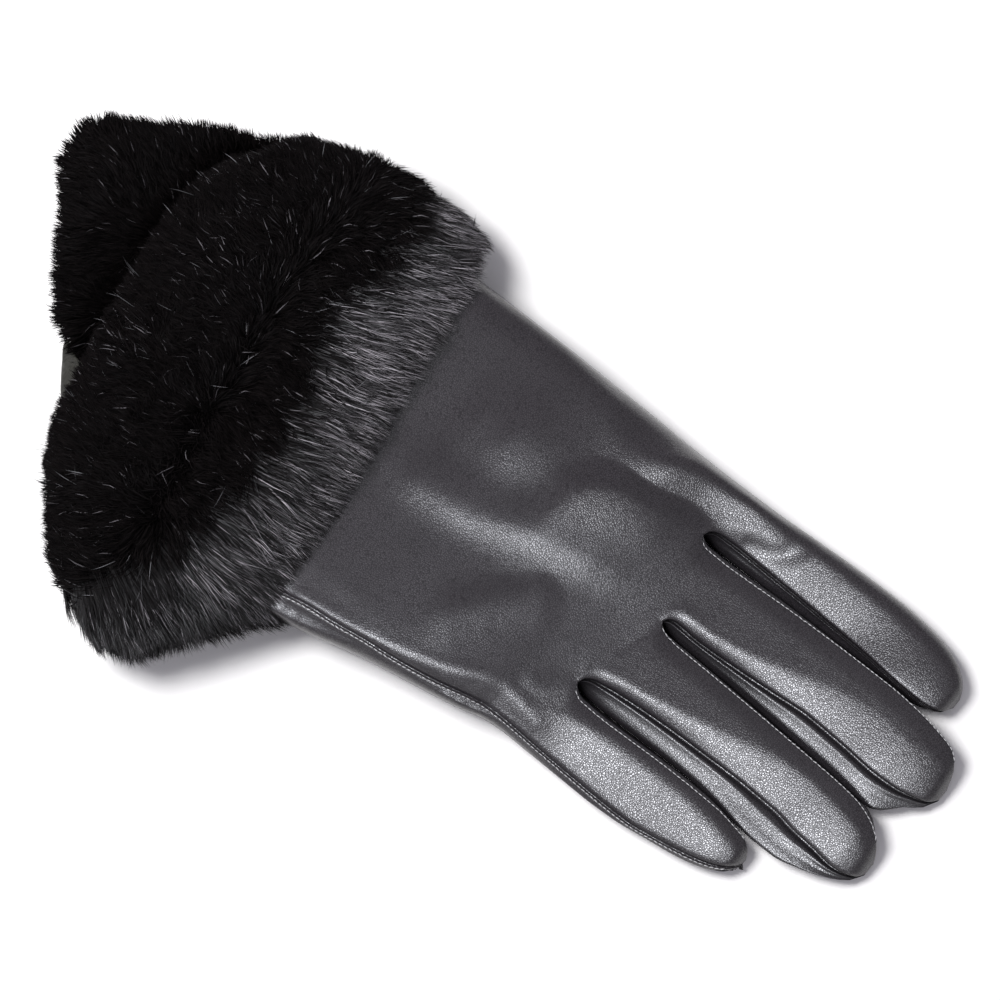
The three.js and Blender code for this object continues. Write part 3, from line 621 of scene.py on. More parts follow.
# How a finger's top falls to its lips: the drop at the web and further on, and how far it reaches
fingerRoll = {
    "rightDrop": 2.1, "rightFar": (2.8, 2.3, 2.8), "powerNear": 1.9, "powerFar": (1.4, 1.25, 1.25),
    "reachNear": 4.2, "reachFar": 12.5, "tipShare": (0.15, 0.9, 1.0), "lipTurn": 0.5,
    "lipReach": 0.9, "leftDrop": 0.7, "leftReach": 5.0, "leftPower": 1.7, "tipDrop": 0.8,
    "tipPower": 2.2, "seamSlope": 0.27, "seamTurn": 0.9,
}
slopeStart = {
    "columns": ("y", "x"),
    "rows": [
        (30, 39.0), (36, 37.2), (42, 35.4), (50, 32.3), (60, 29.8), (70, 28.8), (80, 28.4),
        (90, 28.6), (100, 29.2), (108.7, 31.0),
    ],
}


def rightDrop(finger, x, y, right):
    form = fingerRoll
    if finger == 3:
        # one even slope from the slot down to the outer seam
        return softBend(x - column(slopeStart, "x", y), form["seamTurn"], form["seamSlope"])
    # the roll towards the light widens from the web on, sooner on the index finger
    web, tip = slots[finger]["y"], fingerTips[finger]
    far = smoothStep(*((web - 2, web + 28) if finger == 0 else (web + 8, tip - 22)), y)
    reach = mix(form["reachNear"], form["reachFar"], far)
    power = mix(form["powerNear"], form["powerFar"][finger], far)
    drop = mix(form["rightDrop"], form["rightFar"][finger], far)
    drop = drop * np.clip(1 - (right - x) / reach, 0, 1) ** power
    drop = drop * mix(1, form["tipShare"][finger], smoothStep(tip - 36, tip - 14, y))
    drop = drop + form["lipTurn"] * np.clip(1 - (right - x) / form["lipReach"], 0, 1) ** 2
    return drop * smoothStep(web - 2.5, web + 5, y)


def leftDrop(finger, x, y, left):
    web = slots[finger - 1]["y"]
    near = np.clip(1 - (x - left) / fingerRoll["leftReach"], 0, 1) ** fingerRoll["leftPower"]
    return fingerRoll["leftDrop"] * near * smoothStep(web - 2.5, web + 9, y)


def fingerSide(finger, x, y, top):
    left, right = fingerEdge(finger, "left", y), fingerEdge(finger, "right", y)
    height = column(fingerTables[finger], "height", y)
    share = np.clip((x - left) / np.maximum(right - left, 0.01), 0, 1)
    off = np.abs(2 * share - 1)
    # the outer sides of the first and the last finger have no lip
    outer = ((share < 0.5) & (finger == 0)) | (finger == 3 and (top or share >= 0.5))
    edge = height * handForm["edge"]
    if top:
        drop = rightDrop(finger, x, y, right)
        if finger > 0:
            drop = drop + leftDrop(finger, x, y, left)
        nearTip = smoothStep(fingerTips[finger] - 26, fingerTips[finger] - 4, y)
        drop = drop + fingerRoll["tipDrop"] * nearTip * off ** fingerRoll["tipPower"]
        lipped = np.maximum(height - drop * np.minimum(1, height / 10.5), 0.6 * height)
        fullness = (1 - share ** 8) ** 0.5 if finger == 3 else (1 - off ** 6) ** 0.5
        value = np.where(outer, edge + (lipped - edge) * fullness, lipped)
    else:
        value = np.where(outer, edge * (1 - (1 - off ** 2.4) ** 0.5), height * 0.22 * off ** 6)
    return roundedTip(finger, y, value)


def insideEdge(x, y):
    # relief fades out at the two outer edges, where the back meets the palm
    left, right = fingerEdge(0, "left", y), fingerEdge(3, "right", y)
    rightFade = np.where(y < fingerTips[3], smoothStep(0, 1.0, right - x), 1)
    return smoothStep(0, 1.3, x - left) * rightFade


def handHeight(finger, x, y, top):
    here = fingerSide(finger, x, y, top)
    # both strips agree along the line that joins them below the end of a slot
    for k in (finger - 1, finger):
        if 0 <= k <= 2:
            line, end = slotCentre(k, y), slots[k]["y"]
            other = fingerSide(k + 1 if k == finger else k, line, y, top)
            own = fingerSide(finger, line, y, top)
            near = np.exp(-((x - line) / handForm["join"]) ** 2)
            near = near * (1 - smoothStep(end, end + handForm["joinEnd"], y))
            here = here + (other - own) * 0.5 * near
    value = mix(palmSide(x, y, top), here, smoothStep(*handForm["blend"], y))
    return value + foldRise(x, y) * insideEdge(x, y) if top else np.maximum(value, 0)


def rowPlaces(finger):
    # the same stations for every finger up to the webs, then each finger's own
    form = handForm
    palm = np.linspace(form["hem"], form["webStart"], form["palmRows"], endpoint=False)
    web = np.linspace(form["webStart"], form["common"], form["webRows"], endpoint=False)
    rest = np.sin(np.linspace(0, 1, form["fingerRows"] + 1) * math.pi / 2)
    return np.concatenate([
        palm, web, form["common"] + (fingerTips[finger] - form["common"]) * rest])


def seamLine(y):
    return column(seamTable, "x", y)


strips = [
    {"finger": 0, "columns": 20}, {"finger": 1, "columns": 28}, {"finger": 2, "columns": 26},
    {"finger": 3, "columns": 24, "until": "seam"}, {"finger": 3, "columns": 9, "from": "seam"},
]
sideSeam = {
    "groove": 0.95, "grooveWidth": 0.55, "grooveAt": -0.55, "rim": 0.45, "rimWidth": 0.4,
    "ribs": 0.12, "ribPitch": 1.3,
}


def seamRelief(x, y):
    form = sideSeam
    off = x - seamLine(y)
    relief = (form["rim"] * np.exp(-(off / form["rimWidth"]) ** 2)
              - form["groove"] * np.exp(-((off - form["grooveAt"]) / form["grooveWidth"]) ** 2))
    waves = np.sin(2 * math.pi * y / form["ribPitch"] + np.sin(y * 0.9))
    ribs = form["ribs"] * waves * smoothStep(0.4, 1.4, off)
    return (relief + ribs * (1 - smoothStep(20, 60, y))) * insideEdge(x, y)


def topHeight(finger, x, y):
    z = handHeight(finger, x, y, True)
    return z + seamRelief(x, y) if finger == 3 else z


def stripPoints(strip, top, u, v):
    finger = strip["finger"]
    places = rowPlaces(finger)
    y = places[np.rint(v * (len(places) - 1)).astype(int)]
    left, right = fingerEdge(finger, "left", y), fingerEdge(finger, "right", y)
    if strip.get("until") == "seam":
        right = np.minimum(seamLine(y), right)
    if strip.get("from") == "seam":
        left = np.minimum(seamLine(y), right)
    # points gather at both edges, where the lips are
    u = mix(u, 0.5 - 0.5 * np.cos(math.pi * u), handForm["gather"])
    x = mix(left, right, u)
    return place(x, y, topHeight(finger, x, y) if top else handHeight(finger, x, y, False))


def makeTrank():
    parts = []
    rows = len(rowPlaces(0)) - 1
    for top in (True, False):
        for strip in strips:
            columns = strip["columns"] if top else max(3, strip["columns"] // 3)
            parts.append(gridSheet(columns, rows, partial(stripPoints, strip, top), not top))
    trank = newMesh("trankLeather", joined(parts))
    shell = trank.modifiers.new("thickness", "SOLIDIFY")
    shell.thickness = handForm["thickness"]
    shell.offset = -1
    shell.material_offset_rim = 1
    dress(trank, backLeather, "glove_leather", "hand_leather")
    trank.data.materials.append(cutEdge)


makeTrank()
print("stage: the back and palm are cut")

# The forked strips: the groove under the lip, the ridge and shoulder below it, and where the two
# legs of one slot meet
forkNames = ["fourchette_index_middle", "fourchette_middle_ring", "fourchette_ring_little"]
forkForm = {
    "rows": 110, "columns": 18, "groove": 1.5, "ridge": 0.45, "shoulder": 1.2, "seam": 0.06,
    "fadeEnd": (12, 3), "full": 1.2, "least": 0.15, "gather": 1.35,
}


def slotMiddle(k, y):
    return (fingerEdge(k, "rightWall", y) + fingerEdge(k + 1, "leftWall", y)) / 2


def fullSlot(k, y):
    shorter = min(fingerTips[k], fingerTips[k + 1])
    return 1 - smoothStep(shorter - forkForm["fadeEnd"][0], shorter - forkForm["fadeEnd"][1], y)


def forkLeg(finger, rightSide, v, y):
    # down a finger's side wall, from under the lip (0) to the palm side (1): at eight places,
    # how far out the wall is, and its drop under the lip or, further down, its share of the height
    form = forkForm
    if rightSide:
        lip, wall = fingerEdge(finger, "right", y), fingerEdge(finger, "rightWall", y)
        reach = wall - lip
        spare = np.maximum(0, slotMiddle(finger, y) - lip - form["seam"] - reach)
        meet = reach + spare * fullSlot(finger, y)
        out = [-0.5, 0.35, 0.10 * reach + 0.35, 0.24 * reach + 0.3, 0.53 * reach + 0.2, meet,
               meet - 0.1, meet - 0.9]
        drop = [0.9, form["groove"], 1.0, form["ridge"], form["shoulder"]]
        share = [0.50, 0.16, 0.05]
    else:
        lip, wall = fingerEdge(finger, "left", y), fingerEdge(finger, "leftWall", y)
        reach = wall - lip
        spare = np.minimum(0, slotMiddle(finger - 1, y) - lip + form["seam"] - reach)
        meet = reach + spare * fullSlot(finger - 1, y)
        flat = np.clip(-meet / 0.8, 0, 1)
        out = [0.5, 0.1, -0.35 * flat, -0.8 * flat, -1.05 * flat,
               np.minimum(meet, -1.1 * flat), meet + 0.1, meet + 0.9]
        drop = [0.9, 0.6, 0.5, 0.6]
        share = [0.62, 0.42, 0.16, 0.05]
    lipZ = handHeight(finger, lip, y, True)
    depth = np.minimum(1, np.abs(reach) / form["full"] + form["least"])
    height = column(fingerTables[finger], "height", y)
    levels = [lipZ - fall * depth for fall in drop]
    levels += [roundedTip(finger, y, part * height) for part in share]
    out = [width + 0 * y for width in out]
    spots = np.linspace(0, 1, len(out))
    x = lip + [along(spots, widths, at) for widths, at in zip(np.transpose(out), v)]
    z = np.array([along(spots, heights, at) for heights, at in zip(np.transpose(levels), v)])
    return x, z


def forkPoints(k, u, v):
    # u runs down the wall, v from one fingertip round the end of the slot to the next fingertip
    end = slots[k]["y"]
    onLeft = v < 0.5
    tip = np.where(onLeft, fingerTips[k], fingerTips[k + 1])
    y = end + (tip - end) * np.abs(1 - 2 * v) ** forkForm["gather"]
    x, z = np.zeros_like(y), np.zeros_like(y)
    for rightSide, chosen, finger in ((True, onLeft, k), (False, ~onLeft, k + 1)):
        x[chosen], z[chosen] = forkLeg(finger, rightSide, u[chosen], y[chosen])
    return place(x, y, z)


def makeForks():
    for k, name in enumerate(forkNames):
        bm = gridSheet(forkForm["columns"], forkForm["rows"], partial(forkPoints, k))
        bmesh.ops.remove_doubles(bm, verts=bm.verts, dist=0.00001)
        piece = newMesh("sideStrip" + str(k + 1), bm)
        dress(piece, sideLeather, "side_leather", name)


makeForks()
print("stage: the side strips are set in")

# Stations of the fur from the wrist to the mouth: the line's end at the index finger's side (x, y)
# and at the little finger's side (x, y), the floor, the crown and how far the line bows outwards
cuffTable = [
    (-43.6, -47.0, 62.8, -29.0, 1.6, 26.4, -1), (-50.2, -50.0, 68.4, -35.0, 0, 30.0, 0),
    (-51.0, -60.0, 79.6, -44.0, 0, 33.5, 2), (-49.2, -73.0, 90.4, -53.0, 0, 35.0, 4),
    (-45.0, -86.0, 92.8, -64.0, 0, 34.5, 8), (-40.4, -96.0, 88.6, -73.5, 0, 32.0, 12),
    (-37.4, -101.5, 82.6, -81.0, 0, 28.0, 14),
]
tierTable = [
    (-39.5, -90.0, 60.0, -88.0, 0, 4.4, 2), (-37.2, -102.0, 48.0, -101.0, 0, 4.8, 3),
    (-34.0, -109.0, 41.8, -109.5, 0, 10.5, 5), (-28.0, -120.4, 38.8, -118.0, 0, 12.4, 4),
    (-21.2, -131.0, 24.4, -128.6, 0, 11.6, 2), (-14.6, -140.0, 10.0, -138.4, 0, 8.0, 3),
]
# How deep the skin lies inside the fur, how round the sleeve is, and how its rim and tier close
baseForm = {
    "outer": 3.0, "innerWrist": 3.4, "innerMouth": 5.0, "around": 120, "along": 90, "sides": 0.85,
    "top": 0.7, "edge": 0.42, "flank": 0.55, "rim": (0.5, 0.54), "bulge": 0.01, "least": 0.35,
    "tierInset": 2.4, "tierAround": 60, "tierAlong": 50, "tierCap": 0.04, "tierMiddle": 1.2,
    "hair": 2.3,  # hair stands out beyond the skin by about this much
}


def cuffPlace(table, share, angle, inset):
    # share runs from the wrist to the mouth, angle from the index side over the top of the sleeve
    form = baseForm
    rows = np.array(table, float)
    at = np.asarray(share, float) * (len(rows) - 1)
    i = np.clip(np.floor(at).astype(int), 0, len(rows) - 2)
    part = (at - i)[..., None]
    between = rows[i] * (1 - part) + rows[i + 1] * part
    ix, iy, lx, ly, floor, crown, bow = np.moveaxis(between, -1, 0)
    half = np.hypot(lx - ix, ly - iy) / 2
    acrossX, acrossY = (lx - ix) / (2 * half), (ly - iy) / (2 * half)
    side = -signedPower(np.cos(angle), form["sides"])
    up = signedPower(np.sin(angle), form["top"])
    trim = form["hair"] * mix(0.45, 1.0, smoothStep(0.05, 0.35, share))
    # both flanks of the sleeve are full
    full = smoothStep(0.5, 0.95, np.abs(side)) * (1 - smoothStep(0.82, 1.0, share))
    full = full * (table is cuffTable)
    trim, flank = trim * (1 - full), inset * (1 - form["flank"] * full)
    reach, bend = side * (half - flank - trim), bow * (1 - side ** 4)
    edge = floor + (crown - floor) * form["edge"]
    z = edge + np.where(up > 0, crown - inset - edge, edge - floor - inset) * up
    return ((ix + lx) / 2 + acrossX * reach + acrossY * bend,
            (iy + ly) / 2 + acrossY * reach - acrossX * bend, z)


def sleevePoints(u, v, inner, outer=baseForm["outer"], start=0.0, end=1.0):
    # out along the sleeve, over the rim and back inside, closed on itself
    first, last = baseForm["rim"]
    back = v > last
    rim = (v > first) & ~back
    over = (v - first) / (last - first)
    share = np.where(back, (1 - v) / (1 - last), np.clip(v / first, 0, 1))
    share = start + (end - start) * np.where(rim, 1, share)
    bulge = np.where(rim, np.sin(over * math.pi) * baseForm["bulge"], 0)
    inset = np.where(back, inner(share), outer)
    inset = np.where(rim, mix(outer, inner(share), over), inset)
    x, y, z = cuffPlace(cuffTable, share + bulge, u * 2 * math.pi, inset)
    return place(x, y, np.maximum(z, baseForm["least"]))


underLook = {
    **fibreLook, "colour": (0.0045, 0.0038, 0.0040), "rough": 0.9, "specular": 0.15,
    "fibres": 900.0, "detail": 3.0, "bump": 0.8, "depth": 0.0008,
}
hairLooks = {
    "combedHair": {"rough": 0.46, "specular": 0.30},
    "plushHair": {"rough": 0.60, "specular": 0.04},
}


def hairFinish(name, look):
    material, tree, surface = newMaterial(name)
    setSurface(surface, look)
    tint = addNode(tree, "ShaderNodeAttribute", attribute_name="hairTint")
    wire(tree, [(tint, "Color", surface, "Base Color")])
    return material


underFur = fibreMaterial("underFur", underLook)
combedHair, plushHair = [hairFinish(name, look) for name, look in hairLooks.items()]


def innerWall(share):
    return mix(baseForm["innerWrist"], baseForm["innerMouth"], smoothStep(0, 0.3, share))


def tierPoints(u, v):
    # the ends close to a line along the fur's own width
    form = baseForm
    cap = roundEnd((np.abs(v - 0.5) - 0.5 + form["tierCap"]) / form["tierCap"])
    x, y, z = cuffPlace(tierTable, v, u * 2 * math.pi, form["tierInset"])
    middleX, middleY = cuffPlace(tierTable, v, np.full_like(v, -math.pi / 2), 0)[:2]
    z = np.maximum(form["least"], form["tierMiddle"] + (z - form["tierMiddle"]) * cap)
    return place(mix(middleX, x, cap), mix(middleY, y, cap), z)


def makeUnderFur():
    form = baseForm
    sleeve = closedTube(form["around"], form["along"], lambda u, v: sleevePoints(u, v, innerWall))
    tier = closedTube(form["tierAround"], form["tierAlong"], tierPoints)
    piece = newMesh("underFur", joined([sleeve, tier]))
    dress(piece, underFur, "mink_fur", "fur_cuff")


makeUnderFur()
print("stage: the fur's skin is in place")


def hairNormal(table, share, angle, inset):
    here = np.stack(cuffPlace(table, share, angle, inset), -1)
    further = np.stack(cuffPlace(table, share + 0.004, angle, inset), -1)
    turned = np.stack(cuffPlace(table, share, angle + 0.01, inset), -1)
    normal = np.cross(turned - here, further - here)
    area = np.linalg.norm(normal, axis=-1)
    normal /= np.maximum(area, 1e-9)[:, None]
    across = np.stack(cuffPlace(table, share, angle + math.pi, inset), -1)
    normal[np.sum(normal * (here - across), axis=-1) < 0] *= -1
    return here, normal, area


# Along x: where the combed band at the wrist, silvery with painted sheen, ends and the plush
# begins, and the way that the hair is combed, at the hand (front) and at the mouth (back)
combLines = {
    "bandEdge": ([-54, -48, -38, -24, -16, -9, -4, 7, 15, 35, 60, 80, 95],
                 [-76, -72, -66, -67, -68, -73, -69, -64, -61, -59, -62, -70, -78]),
    "frontX": ([-55, -42, -30, -10, 0, 30, 55, 70, 85, 95],
               [-0.3, -0.34, -0.42, -0.36, -0.34, -0.22, 0.0, 0.3, 0.5, 0.4]),
    "frontY": ([-55, 55, 70, 85, 95], [0.93, 0.95, 0.85, 0.55, 0.3]),
    "backX": ([-50, -20, 40, 70, 95], [-0.12, -0.1, 0.1, 0.3, 0.6]),
}


def combLine(name, x):
    return np.interp(x, *combLines[name])


def combedWay(x, towardsHand):
    way = np.stack([
        mix(combLine("backX", x), combLine("frontX", x), towardsHand),
        mix(-1.0, combLine("frontY", x), towardsHand),
        0 * x - 0.1,
    ], -1)
    return way / np.linalg.norm(way, axis=-1)[:, None]


def combTurn(share):
    # past the crest of the cuff the hair is combed the other way
    return 1 - smoothStep(0.45, 0.68, share)


plushZone = {
    "hairs": 37000, "length": (5.5, 8.5), "lift": (0.55, 1.5), "scatter": 0.5, "swirl": 0.8,
    "pull": 0.55, "clump": 60, "width": (0.26, 0.38), "grey": 0.012, "greys": (0.04, 0.14),
}
furZones = [
    # painted sheen: the combed band's grey hairs stand in for light glancing off the combed hair
    {"name": "furBand", "hairs": 39000, "length": (11, 16.5), "lift": (0.10, 0.36),
     "scatter": 0.10, "swirl": 0.25, "pull": 0.42, "clump": 46, "width": (0.24, 0.36),
     "grey": 0.42, "greys": (0.04, 0.27)},
    {**plushZone, "name": "furCrest"},
    {**plushZone, "name": "furMouth", "lift": (0.5, 1.3)},
    {**plushZone, "name": "furTier", "hairs": 26000, "length": (4.5, 7.5), "lift": (0.4, 1.0),
     "scatter": 0.3, "pull": 0.5, "clump": 50, "width": (0.28, 0.38), "grey": 0.006,
     "greys": (0.03, 0.10)},
    {**plushZone, "name": "furUnder", "hairs": 16000, "length": (5.0, 8.0), "lift": (0.15, 0.5),
     "scatter": 0.35, "pull": 0.4, "clump": 40, "width": (0.34, 0.46), "grey": 0.01,
     "greys": (0.03, 0.08)},
]
# One hair: the steps along it, how straight it starts, how it droops, curls and turns, and its
# half widths and tones. Then the colours, and how loosely a hair follows its clump.
hairForm = {
    "steps": (0, 0.36, 0.7, 1.0), "lengthPower": 0.8, "curl": 0.10, "straight": 0.85,
    "droop": 0.45, "reach": 0.55, "turn": 1.0, "taper": (0.9, 1.0, 0.62),
    "tones": (0.35, 0.8, 1.1, 1.15), "dark": (0.0008, 0.0058), "darkTint": (1.12, 0.93, 0.97),
    "greyTint": (1.0, 0.95, 1.04), "loose": (0.4, 1.3), "lock": (0.25, 1.6), "flatSide": 0.7,
}


# Where hairs may stand: the zones' borders along the sleeve, and how thin or close they stand
rootForm = {
    "tries": 20, "wrist": 0.03, "under": -0.25, "border": 3.5, "tierUnder": 0.12, "tierFrom": -96,
    "mouth": 0.72, "rim": 0.96, "rimMore": 2.5,
}


def zoneRoots(zone, rng):
    # hairs stand evenly over the skin of their own zone, and closer at the rim of the mouth
    form, name = rootForm, zone["name"]
    count = zone["hairs"] * form["tries"]
    angle = rng.uniform(0, 2 * math.pi, count)
    onTier = name == "furTier"
    table = tierTable if onTier else cuffTable
    share = rng.uniform(0.0 if onTier else form["wrist"], 1.0, count)
    inset = baseForm["tierInset"] if onTier else baseForm["outer"]
    here, normal, area = hairNormal(table, share, angle, inset)
    under = np.sin(angle) < form["under"]
    band = here[:, 1] > combLine("bandEdge", here[:, 0]) - rng.normal(0, form["border"], count)
    plush = ~band & ~under
    if name == "furTier":
        keep = area * np.where(under, form["tierUnder"], 1.0) * (here[:, 1] < form["tierFrom"])
    elif name == "furBand":
        keep = area * (band & ~under)
    elif name == "furCrest":
        keep = area * (plush & (share < form["mouth"]))
    elif name == "furMouth":
        closer = np.where(share > form["rim"], form["rimMore"], 1)
        keep = area * (plush & (share >= form["mouth"])) * closer
    else:
        keep = area * under
    chosen = rng.choice(count, zone["hairs"], replace=False, p=keep / keep.sum())
    return here[chosen], normal[chosen], share[chosen]


def hairTints(zone, rng, here):
    count = len(here)
    dark = rng.uniform(*hairForm["dark"], count)[:, None] * np.array(hairForm["darkTint"])
    grey = rng.uniform(*zone["greys"], count)[:, None] * np.array(hairForm["greyTint"])
    x = here[:, 0]
    greyAndSheenChance = zone["grey"] + 0 * x
    # in the combed band the grey hairs are painted sheen: more of them deeper in the band, fewer
    # towards the little finger's side, where the combed hair catches less light
    if zone["name"] == "furBand":
        deep = here[:, 1] - combLine("bandEdge", x)
        lessSheenAside = 1 - 0.45 * smoothStep(10, 50, x) - 0.35 * smoothStep(50, 74, x)
        greyAndSheenChance = greyAndSheenChance * smoothStep(-2, 8, deep + rng.normal(0, 2, count)) * lessSheenAside
    greyAndSheen = rng.random(count) < greyAndSheenChance
    return np.where(greyAndSheen[:, None], grey, dark), greyAndSheen


def ribbonMesh(name, spine, wide, tint):
    # spine: hairs x 4 points, wide: hairs x 3 half widths, tint: hairs x 4 colours
    count = len(spine)
    each = np.arange(count)[:, None]
    verts = np.empty((count, 7, 3))
    for k in range(3):
        verts[:, 2 * k] = spine[:, k] - wide[:, k]
        verts[:, 2 * k + 1] = spine[:, k] + wide[:, k]
    verts[:, 6] = spine[:, 3]
    verts[..., 0] += gloveShift["x"]
    verts[..., 1] += gloveShift["y"]
    verts[..., 2] = np.maximum(verts[..., 2], 0.12)
    loops = np.array([0, 1, 3, 2, 2, 3, 5, 4, 4, 5, 6]) + 7 * each
    starts = np.array([0, 4, 8]) + 11 * each
    mesh = bpy.data.meshes.new(name)
    mesh.vertices.add(count * 7)
    mesh.vertices.foreach_set("co", (verts / 1000).astype(np.float32).ravel())
    mesh.loops.add(count * 11)
    mesh.loops.foreach_set("vertex_index", loops.astype(np.int32).ravel())
    mesh.polygons.add(count * 3)
    mesh.polygons.foreach_set("loop_start", starts.astype(np.int32).ravel())
    mesh.update(calc_edges=True)
    shades = np.ones((count, 7, 4), np.float32)
    shades[..., :3] = tint[:, [0, 0, 1, 1, 2, 2, 3]]
    layer = mesh.color_attributes.new("hairTint", "FLOAT_COLOR", "POINT")
    layer.data.foreach_set("color", shades.ravel())
    return newObject(name, mesh)


def laidDown(way, normal):
    # the part of a direction that runs along the skin, at unit length
    way = way - normal * np.sum(way * normal, axis=-1)[:, None]
    return way / np.maximum(np.linalg.norm(way, axis=-1), 1e-6)[:, None]


def hairSpines(form, root, normal, way, length, lift, curl):
    # four points of each hair: it rises from the skin, droops and curls aside
    aside = np.cross(way, normal)
    spine = np.empty((len(root), 4, 3))
    for k, s in enumerate(form["steps"]):
        ahead = way * (form["straight"] * s + (1 - form["straight"]) * s * s)
        risen = normal * lift * (s - form["droop"] * s * s)
        spine[:, k] = (root + length * (ahead + risen + aside * curl * s * s)
                       / np.sqrt(1 + (form["reach"] * lift) ** 2))
    return spine


def hairWidths(form, rng, normal, way, width):
    # each hair is a flat ribbon, turned round its own line
    turn = rng.uniform(-form["turn"], form["turn"], len(way))[:, None]
    flat = np.cross(way, normal) * np.cos(turn) + normal * np.sin(turn)
    half = mix(*width, rng.random(len(way)))[:, None] / 2
    return np.stack([flat * half * share for share in form["taper"]], 1)


def clumpLeaders(rng, root, clump):
    # for each hair the nearest of a few leaders
    leaders = rng.choice(len(root), max(1, len(root) // clump), replace=False)
    tree = KDTree(len(leaders))
    for slot, leader in enumerate(leaders):
        tree.insert(root[leader], slot)
    tree.balance()
    return leaders[np.array([tree.find(point)[1] for point in root])]


def hairWay(zone, rng, root, normal, share):
    x, y = root[:, 0], root[:, 1]
    if zone["name"] == "furTier":
        way = np.stack([(x - 2) / 26 * 0.8, -1.0 + 0 * x, -0.15 + 0 * x], -1)
    elif zone["name"] == "furBand":
        way = combedWay(x, np.ones(len(x)))
        way[:, 0] -= 0.15 * (1 - smoothStep(-46, -37, x)) * (1 - smoothStep(0.08, 0.3, share))
    else:
        way = combedWay(x, combTurn(share))
    # slow swirls turn whole patches of hair together
    swirl = 0.35 * np.sin(x * 0.21 + 1.3 * np.sin(y * 0.17))
    swirl = swirl + 0.3 * np.sin(y * 0.33 + x * 0.12 + 2)
    way[:, 0] += swirl * zone["swirl"]
    return laidDown(way + rng.normal(0, zone["scatter"], (len(x), 3)), normal)


def hairLength(zone, rng, root, share):
    length = mix(*zone["length"], rng.random(len(root)) ** hairForm["lengthPower"])
    x = root[:, 0]
    if zone["name"] == "furBand":
        # shorter where the band turns down at the index side
        nearWrist = mix(0.5, 1, smoothStep(0.04, 0.3, share))
        length = length * (mix(nearWrist, 0.9, smoothStep(54, 61, x))
                           * (1 - 0.25 * (1 - smoothStep(-46, -36, x))))
    if zone["name"] == "furMouth":
        length = length * (1 - 0.25 * smoothStep(0.9, 1.0, share))
    return length[:, None]


def growHairs(zone, seed):
    form = hairForm
    rng = np.random.default_rng(seed)
    root, normal, share = zoneRoots(zone, rng)
    count = len(root)
    way = hairWay(zone, rng, root, normal, share)
    length = hairLength(zone, rng, root, share)
    lift = mix(*zone["lift"], rng.random(count))[:, None]
    # hair on the sides lies closer, so the outline stays smooth
    lift *= 1 - (form["flatSide"] * np.hypot(normal[:, 0], normal[:, 1]) ** 2)[:, None]
    curl = rng.normal(0, form["curl"], count)[:, None]
    spine = hairSpines(form, root, normal, way, length, lift, curl)
    # hairs of one clump lean together
    leader = clumpLeaders(rng, root, zone["clump"])
    pull = zone["pull"] * rng.uniform(*form["loose"], count)
    for k in (1, 2, 3):
        toward = spine[leader, k] - spine[:, k]
        spine[:, k] += toward * (pull * form["steps"][k] ** 1.6)[:, None]
    wide = hairWidths(form, rng, normal, way, zone["width"])
    tint, greyAndSheen = hairTints(zone, rng, root)
    material = plushHair
    if zone["name"] == "furBand":
        # painted sheen: the silvery hairs are brighter on some locks and dimmer on others
        lockSheen = rng.uniform(*form["lock"], count)[leader]
        tint = tint * mix(1, lockSheen, greyAndSheen)[:, None]
        material = combedHair
    shades = tint[:, None, :] * np.array(form["tones"])[None, :, None]
    dress(ribbonMesh(zone["name"], spine, wide, shades), material, "mink_fur", "fur_cuff")


for order, zone in enumerate(furZones):
    growHairs(zone, 41 + order)
    print("stage: " + zone["name"] + " is grown")

guardForm = {
    **hairForm, "hairs": 300, "length": (5, 11), "lift": (0.3, 1.1), "width": (0.12, 0.18),
    "greys": (0.02, 0.20), "greyTint": (0.95, 0.96, 1.04), "scatter": 0.45, "curl": 0.12,
    "straight": 1.0, "droop": 0.5, "reach": 0.5, "turn": 0.7, "taper": (0.8, 1.0, 0.7),
    "tones": (0.15, 0.5, 1.0, 1.1),
}


def growGuards():
    # long silvery guard hairs, sparse and in every direction
    form = guardForm
    rng = np.random.default_rng(77)
    count = form["hairs"] * 6
    share, angle = rng.uniform(0.0, 1.0, count), rng.uniform(0.05, math.pi - 0.05, count)
    root, normal, area = hairNormal(cuffTable, share, angle, baseForm["outer"])
    chosen = rng.choice(count, form["hairs"], replace=False, p=area / area.sum())
    root, normal, share = root[chosen], normal[chosen], share[chosen]
    count = len(root)
    way = combedWay(root[:, 0], combTurn(share)) + rng.normal(0, form["scatter"], (count, 3))
    way = laidDown(way, normal)
    length = mix(*form["length"], rng.random(count))[:, None]
    lift = mix(*form["lift"], rng.random(count))[:, None]
    curl = rng.normal(0, form["curl"], count)[:, None]
    spine = hairSpines(form, root, normal, way, length, lift, curl)
    wide = hairWidths(form, rng, normal, way, form["width"])
    grey = rng.uniform(*form["greys"], count)[:, None] * np.array(form["greyTint"])
    shades = grey[:, None, :] * np.array(form["tones"])[None, :, None]
    dress(ribbonMesh("guardHairs", spine, wide, shades), combedHair, "mink_fur", "fur_cuff")


growGuards()
print("stage: guard hairs are grown")

# The sleeve's walls inside the fur and its ends, and the folded lip in the notch of the mouth
liningSet = {
    "outer": 5.3, "inner": 6.3, "around": 96, "along": 60, "start": 0.04, "end": 0.99,
    "lipAround": 40, "lipAlong": 30, "lipCap": 0.08, "lipRound": 0.6, "wave": 0.7,
}
